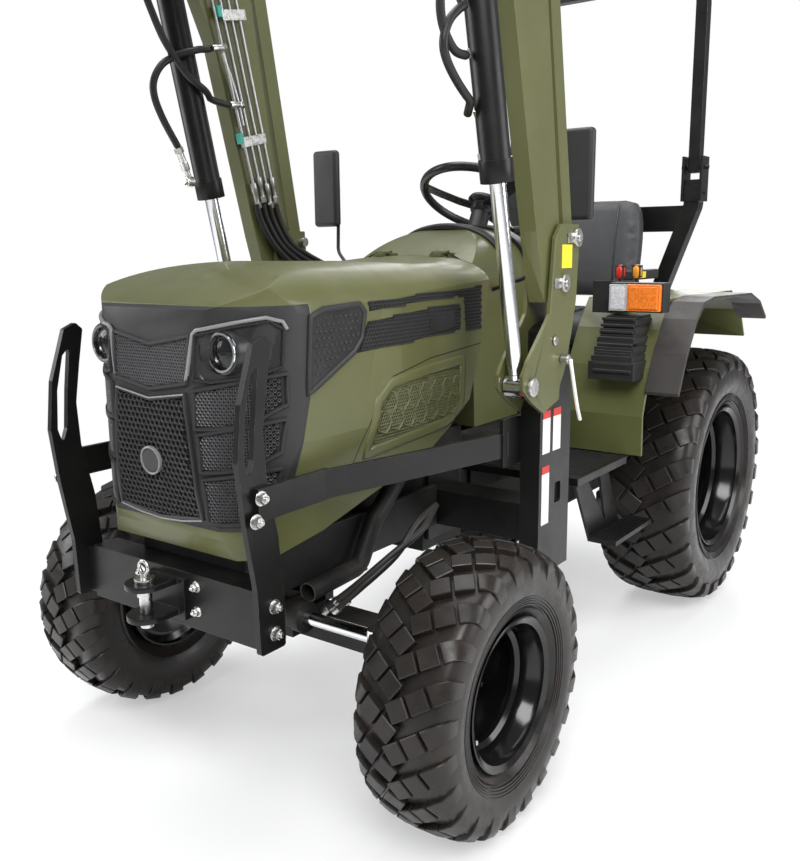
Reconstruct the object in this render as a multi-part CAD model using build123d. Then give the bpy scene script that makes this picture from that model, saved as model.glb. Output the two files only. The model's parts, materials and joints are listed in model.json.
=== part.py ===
from build123d import *
from math import atan2, cos, degrees, hypot, radians, sin
import os

# Compact farm tractor with a raised front loader.
# Millimetres. The tractor faces -Y, +X is its left side, the ground is at Z 0.
# While it is drawn the rear axle is at Y 0; main() then centres the whole length on Y 0.

# Wheels and axles
wheelbase = 1500.0
front_tyre_r = 295.0
front_tyre_w = 208.0
front_track = 990.0
front_rim_r = 166.0
rear_tyre_r = 415.0
rear_tyre_w = 290.0
rear_track = 790.0
rear_rim_r = 240.0
rim_wall = 5.0
tyre_bead_depth = 22.0
kingpin_x = 352.0
axle_pin_r = 20.0
knuckle_r = 34.0
barrel_r = 22.0
spindle_r = 20.0
hub_r = 52.0
running_gap = 0.3
clear = 6.0
steer_arm = 140.0
steer_z = 371.0
steer_y = -wheelbase - steer_arm

# Front frame, bumper and guard
rail_x = 150.0
rail_t = 16.0
rail_top = 575.0
rail_low = 470.0
bumper_ahead = 352.0
bumper_y = -wheelbase - bumper_ahead
bumper_half = 240.0
bumper_top = 545.0
bumper_low = 432.0
bumper_depth = 62.0
guard_x = 268.0
guard_t = 12.0
brace_t = 10.0
brace_h = 56.0
tow_pin_r = 12.5

# Engine, gearbox and hitch
engine_half = 120.0
engine_front = -1600.0
engine_rear = -1140.0
gearbox_half = 100.0
axle_tube_r = 58.0
pto_r = 17.45
pto_len = 76.0
pto_z = 430.0
drawbar_z = 290.0
drawbar_end = 300.0
link_half_span = 340.0
link_ball_r = 11.0
link_end_y = 560.0
link_end_z = 420.0

# Hood
hood_rear = -1016.0
hood_half = 246.0
hood_top = 1141.0
hood_skin = 8.0
mask_back = -1700.0
mask_low = 642.0
mask_high = 1058.0
hood_hinge = (-1012.0, 1146.0)
hinge_x = 74.0
hinge_r = 6.5
hinge_pin_r = 3.0
lamp_x = 168.0
lamp_y = -1826.0
lamp_z = 977.0
lamp_r = 40.0

# Driver's place
dash_front = -1008.0
dash_rear = -690.0
dash_half = 190.0
dash_top = 1180.0
wheel_r = 178.0
wheel_rim_r = 13.0
wheel_hub = (0.0, -648.0, 1290.0)
column_tilt = 28.0
deck_z = 590.0
deck_t = 22.0
deck_out = 442.0
deck_front = -925.0
deck_rear = -612.0
step_z = 380.0
step_front = -735.0
step_rear = -475.0
seat_y = -160.0
seat_z = 905.0
seat_w = 430.0

# Fenders, roll bar, lamps and mirrors
fender_in = 232.0
fender_out = 478.0
fender_t = 8.0
fender_crown = 1012.0
flare_out = 572.0
rops_y = 150.0
rops_x = 335.0
rops_foot_x = 205.0
rops_hinge_z = 1412.0
rops_top_z = 2010.0
rops_tube = 50.0
hoop_tube = 38.0
lamp_front = -575.0
mirror_x = 394.0
mirror_y = -868.0
mirror_z = 1328.0

# Loader: points are (y, z) in the rear-axle frame, arms lie at +-loader_x
loader_x = 420.0
arm_half = 20.0
plate_t = 10.0
post_half = 25.0
pivot = (-1062.0, 1077.0)
link_pin = (-1002.0, 1177.0)
foot_pin = (-1207.0, 857.0)
elbow = (-1205.0, 1860.0)
front_reach = 780.0
arm_bend = 51.9
cyl_pin = (-1436.0, 1890.0)
lift_barrel_len = 617.0
lift_barrel_r = 32.0
lift_rod_r = 17.0
lift_rod_in = 145.0
pin_r = 12.5
crank_arm = 125.0
crank_lean = 7.25
link_depth = 44.0
tilt_barrel_len = 430.0
tilt_barrel_r = 22.0
tilt_rod_r = 14.0
tilt_rod_in = 300.0
tip_pin_r = 14.0
cross_along = 520.0
cross_r = 36.0
bucket_half = 610.0
bucket_depth = 470.0
bucket_h = 430.0
bucket_t = 6.0


def box(x0, x1, y0, y1, z0, z1):
    centre = ((x0 + x1) / 2, (y0 + y1) / 2, (z0 + z1) / 2)
    return Pos(*centre) * Box(abs(x1 - x0), abs(y1 - y0), abs(z1 - z0))


def both(shape):
    return shape + mirror(shape, about=Plane.YZ)


def rod(start, end, radius):
    a, b = Vector(*start), Vector(*end)
    return Plane(origin=a, z_dir=b - a) * Cylinder(
        radius, (b - a).length, align=(Align.CENTER, Align.CENTER, Align.MIN))


def cross_pin(yz, x0, x1, radius):
    return rod((x0, yz[0], yz[1]), (x1, yz[0], yz[1]), radius)


def face_of(*lines):
    return make_face([edge for line in lines for edge in line.edges()])


def side_plate(points, x0, x1, corner=0.0):
    outline = make_face(Polyline(*points, close=True))
    if corner:
        outline = fillet(outline.vertices(), corner)
    return extrude(Pos(x0, 0, 0) * (Plane.YZ * outline), amount=x1 - x0)


def side_form(lines, x0, x1):
    return extrude(Pos(x0, 0, 0) * (Plane.YZ * face_of(*lines)), amount=x1 - x0)


def bent_tube(points, radius, bend):
    path = FilletPolyline(*points, radius=bend)
    start = Plane(origin=path @ 0, z_dir=path % 0)
    return sweep(start * Circle(radius), path=path)


def bent_bar(points, width, height, bend, x_dir=(1, 0, 0)):
    path = FilletPolyline(*points, radius=bend)
    start = Plane(origin=path @ 0, x_dir=x_dir, z_dir=path % 0)
    return sweep(start * Rectangle(width, height), path=path)


def point_at(yz, angle, distance):
    """A point ahead of yz, with the angle in degrees above the forward horizontal."""
    return (yz[0] - distance * cos(radians(angle)), yz[1] + distance * sin(radians(angle)))


def angle_of(start, end):
    return degrees(atan2(end[1] - start[1], start[0] - end[0]))


def offset_point(yz, angle, along, up):
    """Along the direction given by angle, and up at right angles to it."""
    a = radians(angle)
    return (yz[0] - along * cos(a) + up * sin(a), yz[1] + along * sin(a) + up * cos(a))


rear_angle = angle_of(pivot, elbow)
front_angle = rear_angle - arm_bend
tip = point_at(elbow, front_angle, front_reach)
link_offset = (link_pin[0] - pivot[0], link_pin[1] - pivot[1])
crank_link_pin = (elbow[0] + link_offset[0], elbow[1] + link_offset[1])
crank_vector = (-crank_arm * sin(radians(crank_lean)), crank_arm * cos(radians(crank_lean)))
crank_tilt_pin = (elbow[0] + crank_vector[0], elbow[1] + crank_vector[1])
bucket_tilt_pin = (tip[0] + crank_vector[0], tip[1] + crank_vector[1])
front_axle_z = front_tyre_r
rear_axle_z = rear_tyre_r


def tyre(outer_r, width, rim_r, centre_x, y, z):
    half = width / 2
    bead = rim_r - tyre_bead_depth
    shoulder = outer_r * 0.955
    profile = Polyline(
        (bead, -half * 0.72), (rim_r, -half * 0.86), (outer_r * 0.80, -half),
        (shoulder, -half * 0.94), (outer_r, -half * 0.72), (outer_r, half * 0.72),
        (shoulder, half * 0.94), (outer_r * 0.80, half), (rim_r, half * 0.86),
        (bead, half * 0.72), close=True)
    body = revolve(Plane.XZ * make_face(profile), Axis.Z)
    return Pos(centre_x, y, z) * (Rot(0, 90, 0) * body)


def rim(rim_r, width, centre_x, y, z, outward):
    """A deep dished steel wheel, its disc inboard of the rim's middle."""
    half = width / 2 * 0.86
    bead = rim_r - tyre_bead_depth
    drop = bead - 16
    disc = -half * 0.45
    profile = Polyline(
        (hub_r * 0.5, disc - 5), (bead * 0.62, disc - 5), (bead * 0.80, disc - 24),
        (drop - rim_wall, disc - 24), (drop - rim_wall, -half * 0.72), (bead - rim_wall, -half * 0.80),
        (bead - rim_wall, -half), (bead, -half), (bead, -half * 0.70),
        (drop, -half * 0.62), (drop, half * 0.55),
        (bead, half * 0.70), (bead, half), (bead - rim_wall, half),
        (bead - rim_wall, half * 0.78), (drop - rim_wall, half * 0.62),
        (drop - rim_wall, disc - 12), (bead * 0.82, disc - 12), (bead * 0.64, disc + 5),
        (hub_r * 0.5, disc + 5), close=True)
    wheel = revolve(Plane.XZ * make_face(profile), Axis.Z)
    return Pos(centre_x, y, z) * (Rot(0, 90 * outward, 0) * wheel)


def make_wheels():
    nodes = {}
    for axle, r, w, rim_r, track, y, z in (
            ("front", front_tyre_r, front_tyre_w, front_rim_r, front_track, -wheelbase, front_axle_z),
            ("rear", rear_tyre_r, rear_tyre_w, rear_rim_r, rear_track, 0.0, rear_axle_z)):
        for side, sign in (("left", 1), ("right", -1)):
            nodes[f"tyre_{axle}_{side}"] = tyre(r, w, rim_r, sign * track / 2, y, z)
            nodes[f"rim_{axle}_{side}"] = rim(rim_r, w, sign * track / 2, y, z, sign)
    return nodes


def disc_plane(width):
    return width / 2 * 0.86 * 0.45 + 5


def make_knuckle(sign):
    """Kingpin yoke, spindle and hub of one steered wheel, with its steering arm."""
    y, z = -wheelbase, front_axle_z
    hub_x = front_track / 2 - disc_plane(front_tyre_w) - running_gap
    yoke = rod((kingpin_x, y, z - 62), (kingpin_x, y, z - 42), knuckle_r)
    yoke += rod((kingpin_x, y, z + 42), (kingpin_x, y, z + 62), knuckle_r)
    yoke += box(kingpin_x + barrel_r + clear, hub_x - 40, y - 26, y + 26, z - 62, z + 62)
    yoke += rod((kingpin_x + 30, y, z), (hub_x, y, z), spindle_r + 8)
    yoke += rod((hub_x - 26, y, z), (hub_x, y, z), hub_r)
    yoke += rod((hub_x, y, z), (hub_x + 34, y, z), hub_r * 0.5 - running_gap)
    arm = box(kingpin_x - 18, kingpin_x + 18, y - steer_arm, y, z + 62, z + 76)
    yoke += arm + rod((kingpin_x, y - steer_arm, z + 62), (kingpin_x, y - steer_arm, z + 76), 20)
    yoke += rod((kingpin_x, y, z + 56), (kingpin_x, y, z + 76), 24)
    return yoke if sign > 0 else mirror(yoke, about=Plane.YZ)


def make_steering():
    cylinder = rod((-170, steer_y, steer_z + 36), (170, steer_y, steer_z + 36), 30)
    cylinder += both(rod((150, steer_y, steer_z + 36), (172, steer_y, steer_z + 36), 34))
    cylinder += both(box(90, 130, steer_y, -wheelbase - 30, steer_z - 20, steer_z + 30))
    cylinder += rod((60, steer_y, steer_z + 60), (60, steer_y, steer_z + 82), 9)
    cylinder += rod((-60, steer_y, steer_z + 60), (-60, steer_y, steer_z + 82), 9)
    bore = rod((-200, steer_y, steer_z + 36), (200, steer_y, steer_z + 36), 14 + running_gap)
    bar = rod((-kingpin_x, steer_y, steer_z + 36), (kingpin_x, steer_y, steer_z + 36), 14)
    ends = rod((kingpin_x, steer_y, steer_z + 1), (kingpin_x, steer_y, steer_z + 54), 18)
    return cylinder - bore, bar + both(ends)


def make_axles():
    y, z = -wheelbase, front_axle_z
    beam = box(-300, 300, y - 36, y + 36, z + 8, z + 72)
    beam += rod((0, y - 62, z + 92), (0, y + 62, z + 92), 34)
    beam += box(-40, 40, y - 44, y + 44, z + 30, z + 92)
    beam += both(box(290, kingpin_x, y - 20, y + 20, z - 26, z + 30))
    beam += both(rod((kingpin_x, y, z - 42 + running_gap), (kingpin_x, y, z + 42 - running_gap), barrel_r))
    return beam - rod((0, y - 90, z + 92), (0, y + 90, z + 92), axle_pin_r + running_gap)


def make_frame():
    rails = both(box(rail_x - rail_t, rail_x, bumper_y + bumper_depth, engine_rear + 20, rail_low, rail_top))
    rails += box(-rail_x, rail_x, bumper_y + bumper_depth, bumper_y + bumper_depth + 16, rail_low, rail_top)
    for y0 in (-wheelbase - 96, -wheelbase + 64):
        rails += box(-rail_x, rail_x, y0, y0 + 30, front_axle_z + 140, rail_low + 40)
        rails += box(-46, 46, y0, y0 + 30, front_axle_z + 50, front_axle_z + 145)
    pivot_pin = rod((0, -wheelbase - 96, front_axle_z + 92), (0, -wheelbase + 94, front_axle_z + 92),
                    axle_pin_r)
    return rails + pivot_pin


def make_engine():
    block = box(-engine_half, engine_half, engine_front, engine_rear, 520, 900)
    block += box(-95, 95, -wheelbase + 110, engine_rear, 450, 520)
    block += box(-70, 70, engine_front + 40, engine_rear - 40, 900, 955)
    return block


def make_gearbox():
    rear_hub_x = rear_track / 2 - disc_plane(rear_tyre_w) - running_gap
    case = box(-gearbox_half - 20, gearbox_half + 20, engine_rear, -960, 400, 700)
    case += box(-gearbox_half, gearbox_half, -960, -300, 400, 600)
    case += box(-gearbox_half - 20, gearbox_half + 20, -300, 150, 330, 640)
    case += both(rod((100, 0, rear_axle_z), (rear_hub_x - 18, 0, rear_axle_z), axle_tube_r))
    case += both(rod((rear_hub_x - 18, 0, rear_axle_z), (rear_hub_x, 0, rear_axle_z), hub_r + 20))
    case += both(rod((rear_hub_x, 0, rear_axle_z), (rear_hub_x + 40, 0, rear_axle_z),
                     hub_r * 0.5 - running_gap))
    case += rod((0, 140, pto_z), (0, 150 + pto_len, pto_z), pto_r)
    return case


def make_bumper():
    beam = box(-bumper_half, bumper_half, bumper_y, bumper_y + bumper_depth, bumper_low, bumper_top)
    beam += both(box(guard_x - guard_t / 2 - 22, guard_x - guard_t / 2, bumper_y,
                     bumper_y + bumper_depth - 8,
                     bumper_low + 8, bumper_top - 8))
    hollow = box(-bumper_half + 6, bumper_half - 6, bumper_y + 6, bumper_y + bumper_depth + 5,
                 bumper_low + 6, bumper_top - 6)
    return beam - hollow


def make_guard():
    """Two upright plates with a tapered slot, bolted to the bumper's ends."""
    y = bumper_y
    outer = [(y + 14, 1014), (y - 14, 1002), (y - 50, 900), (y - 62, 800), (y - 50, 690), (y - 28, 560),
             (y - 24, 436), (y + 40, 436), (y + 40, 540), (y + 30, 650), (y + 6, 760), (y + 2, 850),
             (y + 16, 930), (y + 30, 1000)]
    slot = [(y - 4, 966), (y - 22, 950), (y - 40, 880), (y - 46, 800), (y - 36, 768),
            (y - 24, 800), (y - 16, 880)]
    plate = side_plate(outer, guard_x - guard_t / 2, guard_x + guard_t / 2, 6)
    plate -= side_plate(slot, guard_x - guard_t, guard_x + guard_t, 4)
    return both(plate)


def make_braces():
    """Flat bars from the guard back to the loader posts."""
    x0, x1 = guard_x + guard_t / 2, loader_x - post_half - brace_t
    y0, y1 = bumper_y - 26, -1200.0
    front = box(x0, x0 + brace_t, y0, y0 + 190, 690, 750)
    length = hypot(x1 - x0, y1 - y0 - 180)
    turn = degrees(atan2(x1 - x0, y1 - y0 - 180))
    bar = Pos(x0 + brace_t / 2, y0 + 180, 720) * Rot(0, 0, -turn) * box(
        -brace_t / 2, brace_t / 2, 0, length + 4, -brace_h / 2, brace_h / 2)
    rear = box(x1, x1 + brace_t, y1 - 20, -1105, 670, 780)
    return both(front + bar + rear)


def make_tow():
    half_gap, lug_t, reach = 26.0, 12.0, 96.0
    z_mid = (bumper_top + bumper_low) / 2 + 6
    y1 = bumper_y
    back = box(-55, 55, y1 - 10, y1, bumper_low + 16, bumper_top - 14)
    lugs = back
    for z0 in (z_mid + half_gap, z_mid - half_gap - lug_t):
        lug = box(-38, 38, y1 - reach + 38, y1 - 10, z0, z0 + lug_t)
        lug += rod((0, y1 - reach + 38, z0), (0, y1 - reach + 38, z0 + lug_t), 38)
        lugs += lug
    lugs -= rod((0, y1 - reach + 38, z_mid - 80), (0, y1 - reach + 38, z_mid + 80), tow_pin_r + 0.2)
    pin_y = y1 - reach + 38
    pin = rod((0, pin_y, z_mid - half_gap - lug_t - 16), (0, pin_y, z_mid + half_gap + lug_t), tow_pin_r)
    pin += rod((0, pin_y, z_mid + half_gap + lug_t), (0, pin_y, z_mid + half_gap + lug_t + 8), tow_pin_r + 7)
    pin += rod((0, pin_y, z_mid + half_gap + lug_t), (0, pin_y, z_mid + half_gap + lug_t + 18), 7)
    ring = Pos(0, pin_y, z_mid + half_gap + lug_t + 28) * (Rot(90, 0, 0) * Torus(13, 3.5))
    return {"tow_clevis": lugs, "tow_pin": pin + ring}


def hood_form(inset):
    """The hood's whole outer form, or its inside when inset is the skin's thickness."""
    t = inset
    nose = Spline((-1815 + t, 540), (-1850 + t, 640), (-1868 + t, 850), (-1852 + t, 1052))
    roof = Spline((-1852 + t, 1052), (-1760 + t, 1097 - t), (-1500, 1133 - t),
                  (hood_rear + t * 4, hood_top - t))
    back = Polyline((hood_rear + t * 4, hood_top - t), (hood_rear + t * 4, 540), (-1815 + t, 540))
    side = side_form((nose, roof, back), -400, 400)
    front = Spline((0, -1872 + t), (130, -1858 + t), (214 - t, -1800 + t / 2), (252 - t, -1690))
    flank = Polyline((252 - t, -1690), (hood_half + 2 - t, -1400), (hood_half - 10 - t, hood_rear + t * 4),
                     (0, hood_rear + t * 4), (0, -1872 + t))
    plan = extrude(face_of(front, flank), amount=1400)
    plan = plan + mirror(plan, about=Plane.YZ)
    shoulder = Spline((0, hood_top - t), (130, hood_top - 8 - t), (212 - t, hood_top - 36 - t),
                      (hood_half + 8 - t, hood_top - 108))
    wall = Polyline((hood_half + 8 - t, hood_top - 108), (hood_half + 4 - t, 800), (hood_half - 36 - t, 540),
                    (0, 540), (0, hood_top - t))
    section = extrude(Plane.XZ * face_of(shoulder, wall), amount=2200)
    section = section + mirror(section, about=Plane.YZ)
    return side & plan & section


def make_hood():
    skin = hood_form(0) - hood_form(hood_skin)
    lower_edge = [(hood_rear + 5, 1200), (hood_rear + 5, 1110), (-1052, 940), (-1110, 800), (-1290, 696),
                  (-1636, 603), (-1760, 586), (-1900, 586), (-1900, 1200)]
    skin = skin & side_plate(lower_edge, -400, 400)
    mask_region = side_plate([(-2000, mask_low), (-1800, mask_low), (mask_back - 42, 716),
                              (mask_back, 880), (mask_back + 6, mask_high), (-2000, mask_high)], -400, 400)
    mask = skin & mask_region
    shell = skin - mask_region
    lamp_hole = rod((lamp_x, -1950, lamp_z), (lamp_x, -1650, lamp_z), lamp_r + running_gap)
    mask -= both(lamp_hole)
    y, z = hood_hinge
    leaf = cross_pin(hood_hinge, hinge_x, hinge_x + 30, hinge_r)
    leaf += box(hinge_x, hinge_x + 30, y - 26, y, z - 9, z - 1)
    shell += both(leaf - cross_pin(hood_hinge, hinge_x - 5, hinge_x + 35, hinge_pin_r + 0.06))
    lamp = rod((lamp_x, lamp_y, lamp_z), (lamp_x, lamp_y + 70, lamp_z), lamp_r)
    return {"hood_shell": shell, "grille_mask": mask, "headlamps": both(lamp)}


def dash_dome(y0, y1, grow):
    """Domed block whose top rises towards the driver, grown outwards by a lip."""
    half, top = dash_half + grow, dash_top + grow
    side = side_form((
        Spline((dash_front, top - 60), (dash_front + 80, top - 8), (-840, top + 32), (dash_rear, top + 32)),
        Polyline((dash_rear, top + 32), (dash_rear - 20, 700), (dash_front + 40, 700), (dash_front, 960),
                 (dash_front, top - 60))), -half, half)
    section = face_of(Spline((-half, top - 100), (-half + 40, top - 15), (0, top + 32),
                             (half - 40, top - 15),
                             (half, top - 100)),
                      Polyline((half, top - 100), (half - 30, 600), (-half + 30, 600), (-half, top - 100)))
    return side & extrude(Plane.XZ * section, amount=1500) & box(-half, half, y0, y1, 600, 1400)


def make_dash():
    """Green cowl behind the hood, black panel on its rear and the steering column."""
    split = dash_rear - 48
    hub = Vector(*wheel_hub)
    lean = Vector(0, -sin(radians(column_tilt)), -cos(radians(column_tilt)))
    column = rod(tuple(hub + lean * 190), tuple(hub + lean * (42 + running_gap)), 27)
    panel = dash_dome(split, dash_rear, 7) + column
    y, z = hood_hinge
    pin = cross_pin(hood_hinge, hinge_x - 9, hinge_x + 39, hinge_pin_r)
    for x0 in (hinge_x - 9, hinge_x + 30 + running_gap):
        pin += cross_pin(hood_hinge, x0, x0 + 9 - running_gap, hinge_r)
        pin += box(x0, x0 + 9 - running_gap, y, y + 30, z - 34, z - 1)
    cowl = dash_dome(dash_front, split, 0) - column
    return {"dash_cowl": cowl + both(pin), "dash_panel": panel}


def make_steering_wheel():
    tilt = Pos(*wheel_hub) * Rot(-column_tilt, 0, 0)
    ring = Torus(wheel_r, wheel_rim_r)
    hub = Pos(0, 0, -22) * Cylinder(32, 40)
    spokes = [Rot(0, 0, 90 + 120 * k) * (Pos(wheel_r / 2, 0, -10) * Box(wheel_r - 8, 22,
                                                                        9)) for k in range(3)]
    return tilt * (ring + hub + spokes)


def make_floor():
    """Foot deck beside the gearbox, on brackets bolted to it."""
    deck = box(gearbox_half, deck_out, deck_front, deck_rear, deck_z - deck_t, deck_z)
    deck -= box(loader_x - post_half - plate_t - clear, 600, deck_front - 50, -985 + clear, 400, 700)
    bracket = box(gearbox_half, gearbox_half + 12, deck_front + 30, deck_rear - 10, 500, deck_z - deck_t)
    return both(deck + bracket)


def make_steps():
    """Lower step on two slanted hangers under the deck's edge."""
    tread = box(396, 470, step_front, step_rear, step_z - 14, step_z)
    hanger = side_plate([(-850, deck_z - deck_t), (-780, deck_z - deck_t), (step_front + 130, step_z - 14),
                         (step_front, step_z - 14)], 388, 396)
    rear = side_plate([(-690, deck_z - deck_t), (-640, deck_z - deck_t), (step_rear - 60, step_z - 14),
                       (step_rear - 150, step_z - 14)], 388, 396)
    return both(tread + hanger + rear)


def fender_front():
    """The slope of the fender's front, moved forward by the running gap."""
    line = [(-600, deck_z), (-604, 700), (-560, 830), (-500, 930), (-430, fender_crown)]
    return [(y - running_gap, z) for y, z in line]


def make_fenders():
    """Green shells in front of and over the rear wheels, with wide black flares outside them."""
    crown = fender_crown
    t = fender_t
    outer = [(-600, deck_z), (-604, 700), (-560, 830), (-500, 930), (-430, crown), (150, crown),
             (262, 952), (330, 850), (330 - t, 846), (256, 943), (147, crown - t), (-426, crown - t),
             (-493, 925), (-553, 826), (-596, 700), (-592, deck_z)]
    skin = side_plate(outer, fender_in, fender_out)
    wall = side_plate([(-600, deck_z), (-604, 700), (-560, 830), (-500, 930), (-430, crown), (150, crown),
                       (262, 952), (330, 850), (300, 640), (-300, deck_z)], fender_in, fender_in + t)
    slot = box(fender_in - 20, 272, rops_y - 42, rops_y + 42, 560, 1100)
    shell = skin + wall - slot
    edge = [(-598, 770), (-545, 872), (-480, 960), (-420, 1004), (-330, 1016), (40, 1010), (150, 980),
            (230, 925)]
    under = [(y * 0.985, z - 9) for y, z in reversed(edge)]
    flare = side_plate(edge + under, fender_out, flare_out)
    trim = side_plate([(-650, 640), (-650, 760), (-560, 700)], flare_out - 2, flare_out + 40)
    return {"fenders": both(shell), "fender_flares": both(flare - trim)}


def make_pods():
    """Ribbed black cover on the front of each fender, its ribs stepping back upwards."""
    pods = box(330, 462, -640, -540, 800, 850)
    for k in range(5):
        z0 = 850 + 24 * k
        pods += box(336 + 3 * k, 456 - 3 * k, -636 + 12 * k, -460, z0, z0 + 15)
        pods += box(342 + 3 * k, 450 - 3 * k, -628 + 12 * k, -460, z0 + 15, z0 + 24)
    pods -= side_plate(fender_front() + [(-400, fender_crown), (-400, deck_z)], fender_in, fender_out)
    return both(pods)


def make_seat():
    base = box(-fender_in + running_gap, fender_in - running_gap, -300, 110, 640, 790)
    base += box(-150, 150, -220, 100, 790, seat_z - 54)
    cushion = fillet((Pos(0, seat_y, seat_z) * Box(seat_w, 400, 108)).edges(), 30)
    recline = Pos(0, seat_y + 190, seat_z + 62) * Rot(-8, 0, 0)
    back = fillet((recline * Pos(0, 0, 185) * Box(seat_w - 10, 86, 350)).edges(), 30)
    base_top = seat_z - 54
    stay = both(recline * box(75, 105, 43 + running_gap, 61, -140, 290)) & box(-150, 150, -500, 500,
                                                                               base_top - 6, 1400)
    return {"seat_mount": base - cushion + stay, "seat_cushion": cushion, "seat_back": back}


def make_levers():
    """Two hand levers on the left fender and the loader's joystick on the right one."""
    levers = None
    knobs = None
    for x, y in ((292, -336), (332, -306)):
        lever = rod((x, y, fender_crown), (x, y, fender_crown + 6), 11)
        lever += rod((x, y, fender_crown + 4), (x, y - 8, fender_crown + 54), 6)
        knob = Pos(x, y - 8, fender_crown + 72) * Box(26, 20, 36)
        levers = lever if levers is None else levers + lever
        knobs = knob if knobs is None else knobs + knob
    levers += rod((-300, -300, fender_crown), (-300, -300, fender_crown + 6), 24)
    levers += rod((-300, -300, fender_crown + 4), (-300, -320, fender_crown + 100), 8)
    levers += rod((-300, -320, fender_crown + 96), (-300, -330, fender_crown + 150), 20)
    return levers + knobs


def make_rops():
    """Roll bar: two lower posts, a cross plate behind the seat and the folding hoop."""
    y = rops_y
    post = bent_bar([(rops_foot_x, y, 560), (rops_foot_x, y, 930), (rops_x, y, 1290),
                     (rops_x, y, rops_hinge_z - 40)], rops_tube, rops_tube, 70)
    foot = box(gearbox_half + 20, rops_foot_x + 20, y - 60, y, 540, 560)
    foot += box(rops_foot_x - 30, rops_foot_x + 24, y - 36, y + 36, 530, 560)
    ear = box(rops_x - 34, rops_x - 26, y - 34, y + 34, rops_hinge_z - 110, rops_hinge_z + 34)
    ear += box(rops_x + 26, rops_x + 34, y - 34, y + 34, rops_hinge_z - 110, rops_hinge_z + 34)
    ear += box(rops_x - 34, rops_x + 34, y - 30, y + 30, rops_hinge_z - 110, rops_hinge_z - 60)
    plate = box(0, rops_x - 30, y - 10, y - 2, 1205, 1290)
    lower = both(post + foot + ear + plate)
    hinge = cross_pin((y, rops_hinge_z), rops_x - 44, rops_x + 44, 8)
    lock = cross_pin((y, rops_hinge_z - 82), rops_x - 40, rops_x + 40, 6)
    lower += both(hinge)
    hoop = bent_bar([(-rops_x, y, rops_hinge_z - 18), (-rops_x, y, rops_top_z), (rops_x, y, rops_top_z),
                     (rops_x, y, rops_hinge_z - 18)], hoop_tube, hoop_tube, 90)
    hoop -= both(cross_pin((y, rops_hinge_z), rops_x - 60, rops_x + 60, 8 + running_gap))
    return {"rops_posts": lower + both(lock), "rops_hoop": hoop}


def make_lamps():
    """Position and turn lamps on brackets at the fenders' front edge."""
    bracket = box(300, 360, lamp_front + 20, lamp_front + 28, 976, 1064)
    seat = fender_crown + running_gap
    bracket += box(300, 360, lamp_front + 20, -390, seat, seat + 8)
    housing = box(356, 508, lamp_front + 8, lamp_front + 60, 980, 1060)
    lens = box(360, 504, lamp_front - 6, lamp_front + 8, 984, 1056)
    return {"lamp_bodies": both(bracket + housing), "lamp_lenses": both(lens)}


def make_mirrors():
    arm = bent_tube([(dash_half - 8, dash_front + 90, 1050), (270, dash_front + 100, 1080),
                     (mirror_x - 30, mirror_y, 1150),
                     (mirror_x - 30, mirror_y + 8, mirror_z)], 5, 30)
    head = fillet((Pos(mirror_x, mirror_y - 8, mirror_z) * Box(88, 26, 214)).edges(), 11)
    return both(head + (arm - head))


def make_posts():
    """Black loader posts on a cross plate under the clutch housing."""
    x0, x1 = loader_x - post_half, loader_x + post_half
    post = side_plate([(-1140, 436), (-1140, 792), (-1112, 830), (-1112, 970), (-1085, 984),
                       (-1010, 994), (-985, 800),
                       (-985, 396), (-1080, 396)], x0, x1)
    post -= side_plate([(-1062, 560), (-1062, 610), (-1030, 610), (-1030, 560)], x1 - 8, x1 + 5, 6)
    arm = box(gearbox_half + 20, x0, -1112, -1012, 470, 560)
    arm += box(gearbox_half + 20, gearbox_half + 32, -1130, -985, 430, 640)
    return both(post + arm)


def mast_outline():
    return [(-1076, 1207), (-988, 1207), (-984, 1150), (-993, 1035), (-1010, 967), (-1042, 877),
            (-1066, 844), (-1069, 812), (-1146, 790), (-1200, 820), (-1243, 852), (-1245, 884),
            (-1219, 918), (-1136, 996), (-1124, 1010), (-1104, 1176)]


def make_mast():
    """Green plate pair on each post, carrying the arm, levelling link and cylinder pins."""
    inner = side_plate(mast_outline(), loader_x - post_half - plate_t, loader_x - post_half)
    outer = side_plate(mast_outline(), loader_x + post_half, loader_x + post_half + plate_t)
    plates = inner + outer
    x0, x1 = loader_x - post_half - plate_t, loader_x + post_half + plate_t
    pins = cross_pin(foot_pin, x0 - 14, x0 + plate_t, pin_r) + cross_pin(foot_pin, x1 - plate_t, x1 + 6,
                                                                         pin_r)
    for yz in (pivot, link_pin):
        pins += cross_pin(yz, x0 - 14, x1 + 6, pin_r)
    for yz in (pivot, link_pin, foot_pin):
        plates -= cross_pin(yz, x0 - 5, x1 + 5, pin_r + 0.05)
        pins += cross_pin(yz, x1, x1 + 8, pin_r + 8)
    return {"mast_plates": both(plates), "mast_pins": both(pins)}


def arm_outline():
    """Side outline of one loader arm, deepest at the elbow."""
    a, b = rear_angle, front_angle
    lower = [offset_point(pivot, a, -30, -66), offset_point(pivot, a, 130, -84),
             offset_point(pivot, a, 620, -118)]
    belly = [offset_point(elbow, a, -60, -150), offset_point(elbow, b, 150, -92),
             offset_point(elbow, b, 300, -60)]
    nose = [offset_point(tip, b, -60, -42), offset_point(tip, b, 20, -34), offset_point(tip, b, 34, 0),
            offset_point(tip, b, 20, 34)]
    upper = [offset_point(elbow, b, 260, 30), offset_point(elbow, b, 40, 30), offset_point(elbow, a, 0, 30),
             offset_point(pivot, a, 620, 34), offset_point(pivot, a, 130, 26), offset_point(pivot, a, 0, 26),
             offset_point(pivot, a, -26, 0)]
    return lower + belly + nose + upper


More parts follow.
